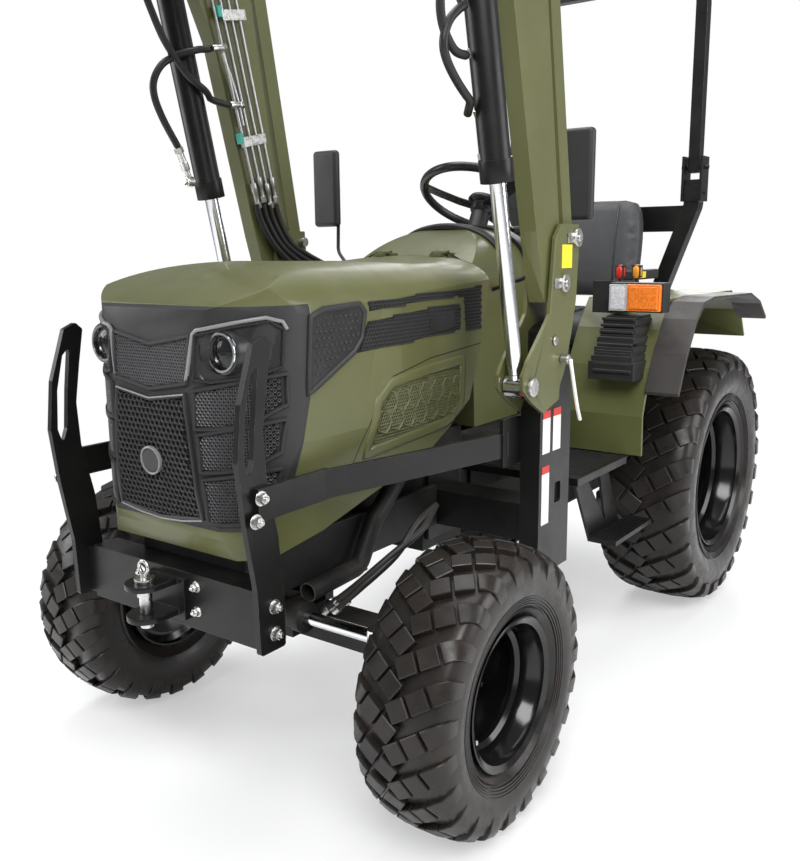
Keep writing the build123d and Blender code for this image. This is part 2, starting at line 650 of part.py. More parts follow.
def make_boom():
    """Both arms with their pin bosses, cylinder ears and the cross tube."""
    x0, x1 = loader_x - arm_half, loader_x + arm_half
    arm = side_plate(arm_outline(), x0, x1)
    for yz in (pivot, elbow, tip):
        arm += cross_pin(yz, loader_x - post_half + running_gap, loader_x + post_half - running_gap, 28)
    cross = offset_point(elbow, front_angle, cross_along, -6)
    ears = side_plate([offset_point(cyl_pin, front_angle, -50, 60),
                       offset_point(cyl_pin, front_angle, -30, -24),
                       offset_point(cyl_pin, front_angle, 26, -28),
                       offset_point(cyl_pin, front_angle, 60, 60)],
                      loader_x + arm_half, loader_x + arm_half + 10)
    ears += Pos(-2 * arm_half - 10, 0, 0) * ears
    arm += ears
    cut = cross_pin(cyl_pin, x0, x1, 58)
    arm -= cut
    pins = cross_pin(cyl_pin, x0 - 16, x1 + 16, pin_r)
    tilt_bar = cross_pin(elbow, x0 - 30, x1 + 30, pin_r)
    arm += pins + tilt_bar
    arm -= cross_pin(pivot, x0 - 20, x1 + 20, pin_r + 0.06)
    arm -= cross_pin(tip, x0 - 20, x1 + 20, tip_pin_r + 0.06)
    return both(arm) + cross_pin(cross, -x0, x0, cross_r)


def make_lift_cylinders():
    """Black barrels hung from the elbow and bright rods standing on the mast."""
    x = loader_x
    total = hypot(cyl_pin[0] - foot_pin[0], cyl_pin[1] - foot_pin[1])
    angle = angle_of(foot_pin, cyl_pin)
    gland = point_at(foot_pin, angle, total - lift_barrel_len)
    top = point_at(foot_pin, angle, total - 52)
    cap = point_at(foot_pin, angle, total - lift_barrel_len + 46)
    barrel = rod((x, *gland), (x, *top), lift_barrel_r)
    barrel += rod((x, *gland), (x, *cap), lift_barrel_r + 3)
    barrel += rod((x, *point_at(top, angle, -4)), (x, *point_at(top, angle, 40)), arm_half - 3)
    barrel += cross_pin(cyl_pin, x - arm_half + 3, x + arm_half - 3, 26)
    barrel -= cross_pin(cyl_pin, x - 40, x + 40, pin_r + 0.06)
    barrel -= rod((x, *point_at(gland, angle, -10)), (x, *point_at(foot_pin, angle, total - 60)),
                  lift_rod_r + running_gap)
    eye_top = point_at(foot_pin, angle, 30)
    inner = point_at(foot_pin, angle, total - lift_barrel_len + lift_rod_in)
    piston = rod((x, *point_at(foot_pin, angle, 12)), (x, *inner), lift_rod_r)
    piston += rod((x, *point_at(foot_pin, angle, 12)), (x, *eye_top), lift_rod_r + 3)
    piston += cross_pin(foot_pin, x - arm_half, x + arm_half, 27)
    piston += cross_pin(foot_pin, x - post_half + running_gap, x + post_half - running_gap, pin_r)
    return {"lift_barrels": both(barrel), "lift_rods": both(piston)}


def make_links():
    """Levelling links behind the arms and the bell cranks at the elbows."""
    x = loader_x
    angle = angle_of(link_pin, crank_link_pin)
    reach = hypot(crank_link_pin[0] - link_pin[0], crank_link_pin[1] - link_pin[1])
    link = side_plate([offset_point(link_pin, angle, 0, -link_depth / 2),
                       offset_point(link_pin, angle, 0, link_depth / 2),
                       offset_point(crank_link_pin, angle, 0, link_depth / 2),
                       offset_point(crank_link_pin, angle, 0, -link_depth / 2)], x - 15, x + 15)
    for yz in (link_pin, crank_link_pin):
        link += cross_pin(yz, x - 19, x + 19, link_depth / 2)
    link -= cross_pin(link_pin, x - 30, x + 30, pin_r + 0.06)
    link -= cross_pin(crank_link_pin, x - 30, x + 30, pin_r + running_gap)
    cheek = make_face(Polyline(offset_point(elbow, 90, -30, -30), offset_point(elbow, 90, -30, 30),
                               offset_point(crank_link_pin, 90, 0, 26),
                               offset_point(crank_link_pin, 90, 26, 10),
                               offset_point(crank_tilt_pin, 90, 28, 16),
                               offset_point(crank_tilt_pin, 90, 28, -16),
                               offset_point(crank_tilt_pin, 90, -10, -30), close=True))
    crank = None
    for x0 in (x - arm_half - 18, x + arm_half + 8):
        plate = extrude(Pos(x0, 0, 0) * (Plane.YZ * cheek), amount=10)
        crank = plate if crank is None else crank + plate
    crank -= cross_pin(elbow, x - 60, x + 60, pin_r + 0.06)
    for yz in (crank_link_pin, crank_tilt_pin):
        crank += cross_pin(yz, x - arm_half - 18, x + arm_half + 18, pin_r)
    return {"level_links": both(link), "bell_cranks": both(crank)}


def make_tilt_cylinders():
    """Cylinders along the top of the front arms, from bell crank to bucket."""
    x = loader_x
    total = hypot(bucket_tilt_pin[0] - crank_tilt_pin[0], bucket_tilt_pin[1] - crank_tilt_pin[1])
    angle = angle_of(crank_tilt_pin, bucket_tilt_pin)
    at = lambda d: (x, *point_at(crank_tilt_pin, angle, d))
    barrel = rod(at(24), at(tilt_barrel_len), tilt_barrel_r)
    barrel += rod(at(tilt_barrel_len - 36), at(tilt_barrel_len), tilt_barrel_r + 3)
    barrel += cross_pin(crank_tilt_pin, x - 19, x + 19, 25)
    barrel -= cross_pin(crank_tilt_pin, x - 40, x + 40, pin_r + 0.06)
    barrel -= rod(at(60), at(tilt_barrel_len + 10), tilt_rod_r + running_gap)
    piston = rod(at(tilt_rod_in), at(total - 12), tilt_rod_r)
    piston += cross_pin(bucket_tilt_pin, x - 15, x + 15, 24)
    piston += cross_pin(bucket_tilt_pin, x - arm_half - 5, x + arm_half + 5, pin_r)
    return {"tilt_barrels": both(barrel), "tilt_rods": both(piston)}


def make_bucket():
    """Open bucket, its back ears straddling the arm tips, with a bolted cutting edge."""
    y0, z0 = tip[0] - 104, tip[1] - 70
    t = bucket_t
    outline = [(y0, z0 - 20), (y0, z0 + 300), (y0 - 90, z0 + bucket_h), (y0 - 120, z0 + bucket_h),
               (y0 - bucket_depth, z0 - 50), (y0 - bucket_depth, z0 - 60), (y0 - 60, z0 - 60)]
    cavity = [(y0 - t, z0 - 18), (y0 - t, z0 + 298), (y0 - 94, z0 + bucket_h - t), (y0 - 94, z0 + 600),
              (y0 - 800, z0 + 600), (y0 - 800, z0 - 60 + t), (y0 - 58, z0 - 60 + t)]
    shell = side_plate(outline, -bucket_half, bucket_half)
    shell -= side_plate(cavity, -bucket_half + t, bucket_half - t)
    ear = [(y0 - 1, z0 - 18), (y0 - 1, z0 + 280), (bucket_tilt_pin[0] + 4, bucket_tilt_pin[1] + 32),
           (bucket_tilt_pin[0] + 32, bucket_tilt_pin[1]), (tip[0] + 34, tip[1]), (tip[0], tip[1] - 34)]
    for sign in (-1, 1):
        for x0 in (loader_x - arm_half - 18, loader_x + arm_half + 6):
            shell += side_plate(ear, min(sign * x0, sign * (x0 + 12)), max(sign * x0, sign * (x0 + 12)))
    shell -= both(cross_pin(tip, loader_x - 80, loader_x + 80, tip_pin_r + 0.06))
    heads = cross_pin(bucket_tilt_pin, loader_x + arm_half + 18, loader_x + arm_half + 26, pin_r + 6)
    shell += both(heads)
    pins = cross_pin(tip, loader_x - arm_half - 24, loader_x + arm_half + 24, tip_pin_r)
    edge = box(-bucket_half, bucket_half, y0 - bucket_depth - 40, y0 - bucket_depth + 90, z0 - 60 - 14,
               z0 - 60)
    return {"bucket": shell + edge, "bucket_pins": both(pins)}


def make_exhaust():
    x = rail_x + 26
    y = -wheelbase
    pipe = bent_tube([(x, y + 180, 640), (x, y + 85, 560), (x, y + 30, 470), (x, y - 140, 462)], 21, 40)
    bore = rod((x, y - 80, 465), (x, y - 200, 459), 18)
    return pipe - bore


def make_hitch():
    """Lower link arms and drawbar at the rear."""
    z_low = link_end_z
    arms = both(bent_bar([(185, 170, 400), (215, rear_tyre_r - 12, z_low),
                          (link_half_span, link_end_y - 60, z_low),
                          (link_half_span, link_end_y, z_low)], 14, 50, 30))
    ball = both(cross_pin((link_end_y, z_low), link_half_span - 22, link_half_span + 22, 32))
    arms = arms + ball - both(cross_pin((link_end_y, z_low), link_half_span - 40, link_half_span + 40,
                                        link_ball_r))
    arms += both(box(120, 200, 120, 150, 370, 430) + box(180, 200, 120, 190, 370, 430))
    drawbar = box(-35, 35, 20, drawbar_end, drawbar_z, drawbar_z + 20) + box(-50, 50, 20, 110, drawbar_z,
                                                                             330)
    drawbar -= rod((0, drawbar_end - 35, drawbar_z - 10), (0, drawbar_end - 35, drawbar_z + 40), 12.5)
    return {"lower_links": arms, "drawbar": drawbar}


def make_nodes():
    nodes = {}
    nodes.update(make_wheels())
    nodes["knuckle_left"] = make_knuckle(1)
    nodes["knuckle_right"] = make_knuckle(-1)
    cylinder, nodes["steering_rod"] = make_steering()
    nodes["front_axle"] = make_axles() + cylinder
    nodes["front_frame"] = make_frame()
    nodes["engine_block"] = make_engine()
    nodes["gearbox"] = make_gearbox()
    nodes["bumper_beam"] = make_bumper()
    nodes["guard_arms"] = make_guard()
    nodes["guard_braces"] = make_braces()
    nodes.update(make_tow())
    nodes.update(make_hood())
    nodes.update(make_dash())
    nodes["steering_wheel"] = make_steering_wheel()
    nodes["foot_deck"] = make_floor() + make_steps()
    nodes.update(make_fenders())
    nodes["fender_pods"] = make_pods()
    nodes.update(make_seat())
    nodes["hand_levers"] = make_levers()
    nodes.update(make_rops())
    nodes.update(make_lamps())
    nodes["mirrors"] = make_mirrors() - nodes["dash_cowl"]
    nodes["loader_posts"] = make_posts()
    nodes.update(make_mast())
    nodes["boom_arms"] = make_boom()
    nodes.update(make_lift_cylinders())
    nodes.update(make_links())
    nodes.update(make_tilt_cylinders())
    nodes.update(make_bucket())
    nodes["exhaust_pipe"] = make_exhaust()
    nodes.update(make_hitch())
    return nodes


def frame_shift(nodes):
    """How far to move everything along Y so that the whole length is centred on Y 0."""
    low = min(shape.bounding_box().min.Y for shape in nodes.values())
    high = max(shape.bounding_box().max.Y for shape in nodes.values())
    return -(low + high) / 2


def main():
    nodes = make_nodes()
    shift = frame_shift(nodes)
    os.makedirs("parts", exist_ok=True)
    for name, shape in nodes.items():
        export_step(Pos(0, shift, 0) * shape, f"parts/{name}.step")
    print("frame shift", round(shift, 3))
    return nodes, shift


if __name__ == "__main__":
    main()
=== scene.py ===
import bpy
import bmesh
import json
from math import atan2, ceil, cos, hypot, pi, radians, sin, sqrt
from mathutils import Matrix, Vector
from mathutils.bvhtree import BVHTree
from mathutils.geometry import delaunay_2d_cdt


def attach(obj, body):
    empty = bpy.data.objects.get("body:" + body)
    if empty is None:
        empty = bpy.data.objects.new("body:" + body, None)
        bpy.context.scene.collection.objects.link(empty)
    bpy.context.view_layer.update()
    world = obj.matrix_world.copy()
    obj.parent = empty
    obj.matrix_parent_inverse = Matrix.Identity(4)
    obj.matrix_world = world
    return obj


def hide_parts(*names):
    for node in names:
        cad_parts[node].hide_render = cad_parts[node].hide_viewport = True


bl_info = {
    "name": "Compact loader tractor",
    "version": (1, 0, 0),
    "blender": (4, 5, 0),
    "location": "3D View > Sidebar > Tractor",
    "description": "Dresses the packed frame of a compact farm tractor with a front loader",
    "category": "Object",
}

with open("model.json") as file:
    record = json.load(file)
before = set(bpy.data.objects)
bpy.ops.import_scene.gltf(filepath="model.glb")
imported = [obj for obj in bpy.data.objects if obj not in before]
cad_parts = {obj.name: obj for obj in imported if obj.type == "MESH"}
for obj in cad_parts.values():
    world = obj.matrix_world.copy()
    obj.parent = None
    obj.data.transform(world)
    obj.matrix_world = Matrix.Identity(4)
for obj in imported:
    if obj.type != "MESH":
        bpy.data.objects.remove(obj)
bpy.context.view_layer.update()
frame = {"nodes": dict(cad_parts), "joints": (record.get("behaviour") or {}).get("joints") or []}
NODES = frame["nodes"]
JOINTS = {joint["name"]: joint for joint in frame["joints"]}
AXLE_Y = JOINTS["wheel_rear_left_spin"]["pos_m"][1]
MATERIALS = {}
TREES = {}
DUST = (0.35, 0.32, 0.27, 1)
DULL_SPOT = (0.2, 0.17, 0.1, 1)


# Places: sizes in the code are millimetres from the rear axle's middle on the ground

def at(x, y, z):
    return Vector((x / 1000, y / 1000 + AXLE_Y, z / 1000))


def mm(point):
    return Vector((point.x * 1000, (point.y - AXLE_Y) * 1000, point.z * 1000))


def joint_place(name):
    return mm(Vector(JOINTS[name]["pos_m"]))


def sizes():
    return bpy.context.scene.tractor_sizes


def colours():
    return bpy.context.scene.tractor_colours


# Materials

class Shader:
    """Small writer for one material's node tree."""

    def __init__(self, name):
        self.material = bpy.data.materials.new(name)
        self.material.use_nodes = True
        self.tree = self.material.node_tree
        self.surface = self.tree.nodes["Principled BSDF"]
        self.place = self.node("ShaderNodeTexCoord").outputs["Object"]

    def node(self, kind, **values):
        made = self.tree.nodes.new(kind)
        for key, value in values.items():
            setattr(made, key, value)
        return made

    def join(self, source, target):
        self.tree.links.new(source, target)

    def feed(self, value, socket):
        """Joins a socket to the socket, or sets it to a plain value."""
        if isinstance(value, bpy.types.NodeSocket):
            self.join(value, socket)
        else:
            socket.default_value = value

    def noise(self, scale, detail=3.0, rough=0.5, stretch=None):
        made = self.node("ShaderNodeTexNoise")
        made.inputs["Scale"].default_value = scale
        made.inputs["Detail"].default_value = detail
        made.inputs["Roughness"].default_value = rough
        source = self.place
        if stretch:
            mapping = self.node("ShaderNodeMapping")
            mapping.inputs["Scale"].default_value = stretch
            self.join(self.place, mapping.inputs["Vector"])
            source = mapping.outputs["Vector"]
        self.join(source, made.inputs["Vector"])
        return made.outputs["Fac"]

    def ramp(self, source, low, high):
        made = self.node("ShaderNodeValToRGB")
        made.color_ramp.elements[0].position = low
        made.color_ramp.elements[1].position = high
        self.join(source, made.inputs["Fac"])
        return made.outputs["Color"]

    def spread(self, source, low, high, out_low, out_high):
        made = self.node("ShaderNodeMapRange")
        for key, value in (("From Min", low), ("From Max", high), ("To Min", out_low), ("To Max", out_high)):
            made.inputs[key].default_value = value
        self.join(source, made.inputs["Value"])
        return made.outputs["Result"]

    def mix(self, factor, first, second):
        made = self.node("ShaderNodeMix", data_type="RGBA")
        for socket, value in ((made.inputs["Factor"], factor), (made.inputs[6], first),
                              (made.inputs[7], second)):
            self.feed(value, socket)
        return made.outputs[2]

    def product(self, first, second):
        made = self.node("ShaderNodeMath", operation="MULTIPLY")
        for socket, value in zip(made.inputs, (first, second)):
            self.feed(value, socket)
        return made.outputs[0]

    def edges(self, radius=0.0025):
        """1 on convex edges, 0 on flats, from the difference of the rounded and the true normal."""
        bevel = self.node("ShaderNodeBevel", samples=4)
        bevel.inputs["Radius"].default_value = radius
        true = self.node("ShaderNodeNewGeometry")
        dot = self.node("ShaderNodeVectorMath", operation="DOT_PRODUCT")
        self.join(bevel.outputs["Normal"], dot.inputs[0])
        self.join(true.outputs["Normal"], dot.inputs[1])
        return self.spread(dot.outputs["Value"], 0.99, 0.75, 0.0, 1.0)

    def bump(self, source, strength, distance):
        made = self.node("ShaderNodeBump")
        made.inputs["Strength"].default_value = strength
        made.inputs["Distance"].default_value = distance
        self.join(source, made.inputs["Height"])
        return made.outputs["Normal"]

    def dust(self, colour, rate):
        """Dust lying on upward faces, broken up by noise."""
        normal = self.node("ShaderNodeNewGeometry").outputs["Normal"]
        split = self.node("ShaderNodeSeparateXYZ")
        self.join(normal, split.inputs[0])
        up = self.spread(split.outputs["Z"], 0.1, 1.0, 0.25, 1.0)
        patchy = self.ramp(self.noise(9.0, 6.0, 0.65), 0.42, 0.75)
        amount = self.product(self.product(up, patchy), rate)
        return self.mix(amount, colour, DUST)

    def set(self, **values):
        for key, value in values.items():
            self.feed(value, self.surface.inputs[key.replace("_", " ")])


def shade(colour, factor):
    return (colour[0] * factor, colour[1] * factor, colour[2] * factor, 1.0)


def paint(name, colour, rough, coat=0.0, peel=0.02, worn=0.0, dust=0.10, vary=0.12, shine=0.35):
    """Sprayed or powder-coated paint: slight tone drift, orange peel, dust above, paler edges."""
    made = Shader(name)
    tone = made.mix(made.ramp(made.noise(2.2, 4.0), 0.3, 0.7), shade(colour, 1 - vary),
                    shade(colour, 1 + vary))
    if worn:
        marks = made.product(made.edges(), made.ramp(made.noise(60.0, 5.0), 0.45, 0.6))
        tone = made.mix(made.product(marks, worn), tone, shade([c * 0.6 + 0.16 for c in colour], 1))
    made.set(Base_Color=made.dust(tone, dust), Specular_IOR_Level=shine,
             Roughness=made.spread(made.noise(14.0, 6.0, 0.7), 0.3, 0.75, rough - 0.05, rough + 0.12),
             Normal=made.bump(made.noise(420.0, 2.0), peel, 0.0006))
    made.set(Coat_Weight=coat, Coat_Roughness=0.08)
    return made.material


def plastic(name, colour, rough, grain=260.0, depth=0.12, dust=0.12):
    """Moulded plastic with a fine leather-like grain."""
    made = Shader(name)
    cells = made.node("ShaderNodeTexVoronoi", feature="DISTANCE_TO_EDGE")
    cells.inputs["Scale"].default_value = grain
    made.join(made.place, cells.inputs["Vector"])
    tone = made.mix(made.ramp(made.noise(3.0, 4.0), 0.3, 0.7), shade(colour, 0.86), shade(colour, 1.15))
    made.set(Base_Color=made.dust(tone, dust * 0.5), Specular_IOR_Level=0.32,
             Roughness=made.spread(made.noise(22.0, 4.0), 0.3, 0.7, rough - 0.06, rough + 0.08),
             Normal=made.bump(cells.outputs["Distance"], depth, 0.0005))
    return made.material


def rubber(name, colour, rough=0.55, fine=180.0):
    """Moulded tyre rubber, slightly browned and glossy where new, with a painted highlight on its convex
    edges.
    """
    made = Shader(name)
    brown = (colour[0] * 1.4 + 0.004, colour[1] * 1.2 + 0.002, colour[2] * 1.1 + 0.001, 1)
    tone = made.mix(made.ramp(made.noise(11.0, 6.0, 0.7), 0.42, 0.72), shade(colour, 1), brown)
    # painted highlight: the convex edges of lugs, ridges and hose ends are lightened
    tone = made.mix(made.product(made.edges(0.003), 0.3), tone, shade([c + 0.04 for c in colour], 1))
    made.set(Base_Color=tone, Specular_IOR_Level=0.3,
             Roughness=made.spread(made.noise(30.0, 5.0, 0.7), 0.3, 0.7, rough - 0.14, rough + 0.12),
             Normal=made.bump(made.noise(fine, 4.0, 0.7), 0.14, 0.0008))
    return made.material


def metal(name, colour, rough, brush=(1, 1, 1), spots=0.0):
    """Bare or plated metal with fine brushing and a few dull spots."""
    made = Shader(name)
    lines = made.noise(90.0, 4.0, 0.6, brush)
    tone = made.mix(made.ramp(lines, 0.35, 0.65), shade(colour, 0.85), shade(colour, 1.08))
    if spots:
        tone = made.mix(made.product(made.ramp(made.noise(45.0, 6.0, 0.7), 0.55, 0.68), spots), tone,
                        DULL_SPOT)
    made.set(Base_Color=tone, Metallic=1.0,
             Roughness=made.spread(lines, 0.3, 0.7, max(rough - 0.06, 0.03), rough + 0.1),
             Normal=made.bump(lines, 0.05, 0.0004))
    return made.material


def lamp_glass(name, colour, alpha):
    """Clear or tinted lamp cover with moulded optics."""
    made = Shader(name)
    cells = made.node("ShaderNodeTexVoronoi", feature="F1")
    cells.inputs["Scale"].default_value = 170.0
    made.join(made.place, cells.inputs["Vector"])
    tone = made.mix(made.ramp(cells.outputs["Distance"], 0.1, 0.7), shade(colour, 1.15), shade(colour, 0.8))
    made.set(Base_Color=tone, Roughness=0.12, Alpha=alpha, IOR=1.45,
             Normal=made.bump(cells.outputs["Distance"], 0.35, 0.0012))
    return made.material


def make_materials():
    """Fills MATERIALS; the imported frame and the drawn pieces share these."""
    c = colours()
    MATERIALS.update({
        "olive": paint("olive gloss paint", c.olive, 0.36, 0.12, 0.03, 0.25, 0.06),
        "olive_flat": paint("olive loader paint", c.loader_olive, 0.36, 0.1, 0.05, 0.3, 0.05),
        "black_paint": paint("black powder coat", c.black, 0.32, 0.0, 0.10, 0.3, 0.04, shine=0.28),
        "black_gloss": paint("gloss black wheel paint", c.black_gloss, 0.14, 0.0, 0.02, 0.0, 0.01,
                             shine=0.4),
        "cast": paint("painted dark casting", c.casting, 0.5, 0.0, 0.5, 0.3, 0.12, 0.2, shine=0.25),
        "plastic": plastic("grained black plastic", c.plastic, 0.46),
        "smooth_plastic": plastic("smooth black plastic", c.plastic, 0.26, 500.0, 0.03, 0.05),
        "grey_plastic": plastic("grained flare plastic", c.flare, 0.5, 220.0, 0.2, 0.2),
        # painted shade: a near-black finish for the shade behind grilles and vents and in panel gaps
        "deep": plastic("painted shade black", (0.004, 0.004, 0.004), 0.8, 200.0, 0.02, 0.0),
        "tyre": rubber("tyre rubber", c.tyre, 0.36),
        "hose": rubber("hose rubber", (0.014, 0.014, 0.014), 0.46, 420.0),
        "chrome": metal("hard chrome", (0.78, 0.79, 0.80), 0.10, (1, 1, 6)),
        "zinc": metal("zinc plate", c.zinc, 0.28, spots=0.35),
        "lip": plastic("satin grey lip", (0.20, 0.20, 0.20), 0.22, 500.0, 0.02, 0.03),
        "mesh": plastic("grille mesh", (0.075, 0.075, 0.078), 0.3, 500.0, 0.02, 0.03),
        "smoke": lamp_glass("smoked lamp cover", (0.012, 0.012, 0.012), 0.92),
        "steel": metal("bare steel", (0.46, 0.46, 0.46), 0.36, (1, 6, 1), 0.5),
        "seat": plastic("seat vinyl", c.seat, 0.52, 300.0, 0.25, 0.2),
        "clear": lamp_glass("clear lamp cover", (0.9, 0.9, 0.92), 0.35),
        "amber": lamp_glass("amber lamp cover", c.amber, 0.92),
        "red_plastic": plastic("red knob", (0.55, 0.03, 0.02), 0.3, 500.0, 0.02, 0.05),
        "amber_plastic": plastic("orange knob", (0.75, 0.30, 0.03), 0.3, 500.0, 0.02, 0.05),
        "yellow": plastic("yellow label", (0.78, 0.62, 0.03), 0.4, 600.0, 0.01, 0.04),
        "white": plastic("white label", (0.72, 0.71, 0.68), 0.45, 600.0, 0.01, 0.04),
        "label_red": plastic("red label band", (0.50, 0.04, 0.03), 0.45, 600.0, 0.01, 0.04),
        "teal": plastic("teal clamp cap", (0.05, 0.35, 0.28), 0.35, 500.0, 0.02, 0.05),
    })


# Mesh helpers, all in millimetres

def finish_piece(name, mesh, material, body, crease=35.0, bevel=0.0, segments=2, replaces=(), closed=True):
    """Sets a mesh in the scene as one piece: its look, its body and the nodes it stands for."""
    bm = bmesh.new()
    bm.from_mesh(mesh)
    bmesh.ops.remove_doubles(bm, verts=bm.verts, dist=1e-7)
    if closed:
        bmesh.ops.recalc_face_normals(bm, faces=bm.faces)
    bm.to_mesh(mesh)
    bm.free()
    piece = bpy.data.objects.new(name, mesh)
    bpy.context.scene.collection.objects.link(piece)
    mesh.materials.clear()
    mesh.materials.append(MATERIALS[material])
    mesh.polygons.foreach_set("use_smooth", [True] * len(mesh.polygons))
    mesh.set_sharp_from_angle(angle=radians(crease))
    if bevel:
        edge = piece.modifiers.new("edge", "BEVEL")
        edge.width = bevel / 1000
        edge.segments = segments
        edge.limit_method = "ANGLE"
        edge.angle_limit = radians(crease)
        edge.harden_normals = True
    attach(piece, body)
    if replaces:
        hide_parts(*replaces)
    return piece


class Form:
    """A mesh being drawn in millimetres, then set in its place as one piece."""

    def __init__(self):
        self.bm = bmesh.new()

    def faces_of(self, rings, close_ends=True):
        """Joins closed rings of equally many points, one after the other."""
        rows = [[self.bm.verts.new(p) for p in ring] for ring in rings]
        count = len(rows[0])
        for a, b in zip(rows, rows[1:]):
            for k in range(count):
                self.quad(a[k], a[(k + 1) % count], b[(k + 1) % count], b[k])
        if close_ends:
            self.quad(*reversed(rows[0]))
            self.quad(*rows[-1])

    def quad(self, *corners):
        """Adds a face; one that is there already, or is folded to nothing, is left out."""
        try:
            self.bm.faces.new(corners)
        except ValueError:
            pass

    def box(self, x0, x1, y0, y1, z0, z1, turn=None):
        lower = [Vector((x, y, z0)) for x, y in ((x0, y0), (x1, y0), (x1, y1), (x0, y1))]
        upper = [Vector((p.x, p.y, z1)) for p in lower]
        if turn:
            centre = Vector(((x0 + x1) / 2, (y0 + y1) / 2, (z0 + z1) / 2))
            lower = [centre + turn @ (p - centre) for p in lower]
            upper = [centre + turn @ (p - centre) for p in upper]
        self.faces_of([lower, upper])

    def lathe(self, profile, centre, axis, steps=48, closed=False):
        """profile holds (radius, distance along axis)."""
        axis = Vector(axis).normalized()
        u = axis.orthogonal().normalized()
        v = axis.cross(u)
        centre = Vector(centre)
        rings = []
        for k in range(steps):
            out = u * cos(2 * pi * k / steps) + v * sin(2 * pi * k / steps)
            rings.append([centre + axis * h + out * max(r, 0.0) for r, h in profile])
        rows = [[self.bm.verts.new(p) for p in ring] for ring in rings]
        count = len(profile)
        for k in range(steps):
            a, b = rows[k], rows[(k + 1) % steps]
            for n in range(count if closed else count - 1):
                m = (n + 1) % count
                self.quad(a[n], b[n], b[m], a[m])

    def disc(self, radius, length, centre, axis, steps=24, chamfer=0.0):
        c = min(chamfer, radius * 0.5, length * 0.5)
        profile = [(0, 0), (radius - c, 0), (radius, c), (radius, length - c), (radius - c, length),
                   (0, length)]
        if not c:
            profile = [(0, 0), (radius, 0), (radius, length), (0, length)]
        self.lathe(profile, centre, axis, steps)

    def tube(self, points, radius, sides=12, smooth=0):
        """A round bar along the points, carried without twist; smooth gives the cuts of each span."""
        path = smooth_line(points, smooth) if smooth else [Vector(p) for p in points]
        tangent = (path[1] - path[0]).normalized()
        u = tangent.orthogonal().normalized()
        rings = []
        for k, p in enumerate(path):
            new = way_along(path, k)
            u = tangent.rotation_difference(new) @ u
            tangent = new
            v = tangent.cross(u)
            angles = [2 * pi * s / sides for s in range(sides)]
            rings.append([p + (u * cos(a) + v * sin(a)) * radius for a in angles])
        self.faces_of(rings)

    def sweep(self, points, section, up):
        """section holds (along up, along side) pairs, carried along the path without twist."""
        path = [Vector(p) for p in points]
        up = Vector(up).normalized()
        rings = []
        for k, p in enumerate(path):
            ahead = way_along(path, k)
            side = ahead.cross(up).normalized()
            flat = side.cross(ahead).normalized()
            rings.append([p + flat * a + side * b for a, b in section])
        self.faces_of(rings)

    def mesh(self, name):
        mesh = bpy.data.meshes.new(name)
        for vert in self.bm.verts:
            vert.co = at(*vert.co)
        self.bm.to_mesh(mesh)
        self.bm.free()
        return mesh

    def piece(self, name, material, body="chassis", **options):
        return finish_piece(name, self.mesh(name), material, body, **options)


def way_along(path, k):
    """The path's direction at its point k, taken from that point's neighbours."""
    return (path[min(k + 1, len(path) - 1)] - path[max(k - 1, 0)]).normalized()


def smooth_line(points, cuts):
    """Catmull-Rom line through the points, with cuts pieces for each span."""
    p = [Vector(q) for q in points]
    p = [p[0] * 2 - p[1]] + p + [p[-1] * 2 - p[-2]]
    out = []
    for a, b, c, d in zip(p, p[1:], p[2:], p[3:]):
        for k in range(cuts):
            t = k / cuts
            out.append(0.5 * ((2 * b) + (c - a) * t + (2 * a - 5 * b + 4 * c - d) * t * t
                              + (3 * b - a - 3 * c + d) * t * t * t))
    out.append(p[-2])
    return out


def inside(point, outline):
    x, y = point
    hit = False
    for (x0, y0), (x1, y1) in zip(outline, outline[1:] + outline[:1]):
        if (y0 > y) != (y1 > y) and x < (x1 - x0) * (y - y0) / (y1 - y0) + x0:
            hit = not hit
    return hit


PANEL_CELL, RIBBON_CELL = 24.0, 16.0
BESIDE, AHEAD, ABOVE = 900, -2400, 2400    # outside the tractor, where the rays start
TOWARDS_SKIN = 700


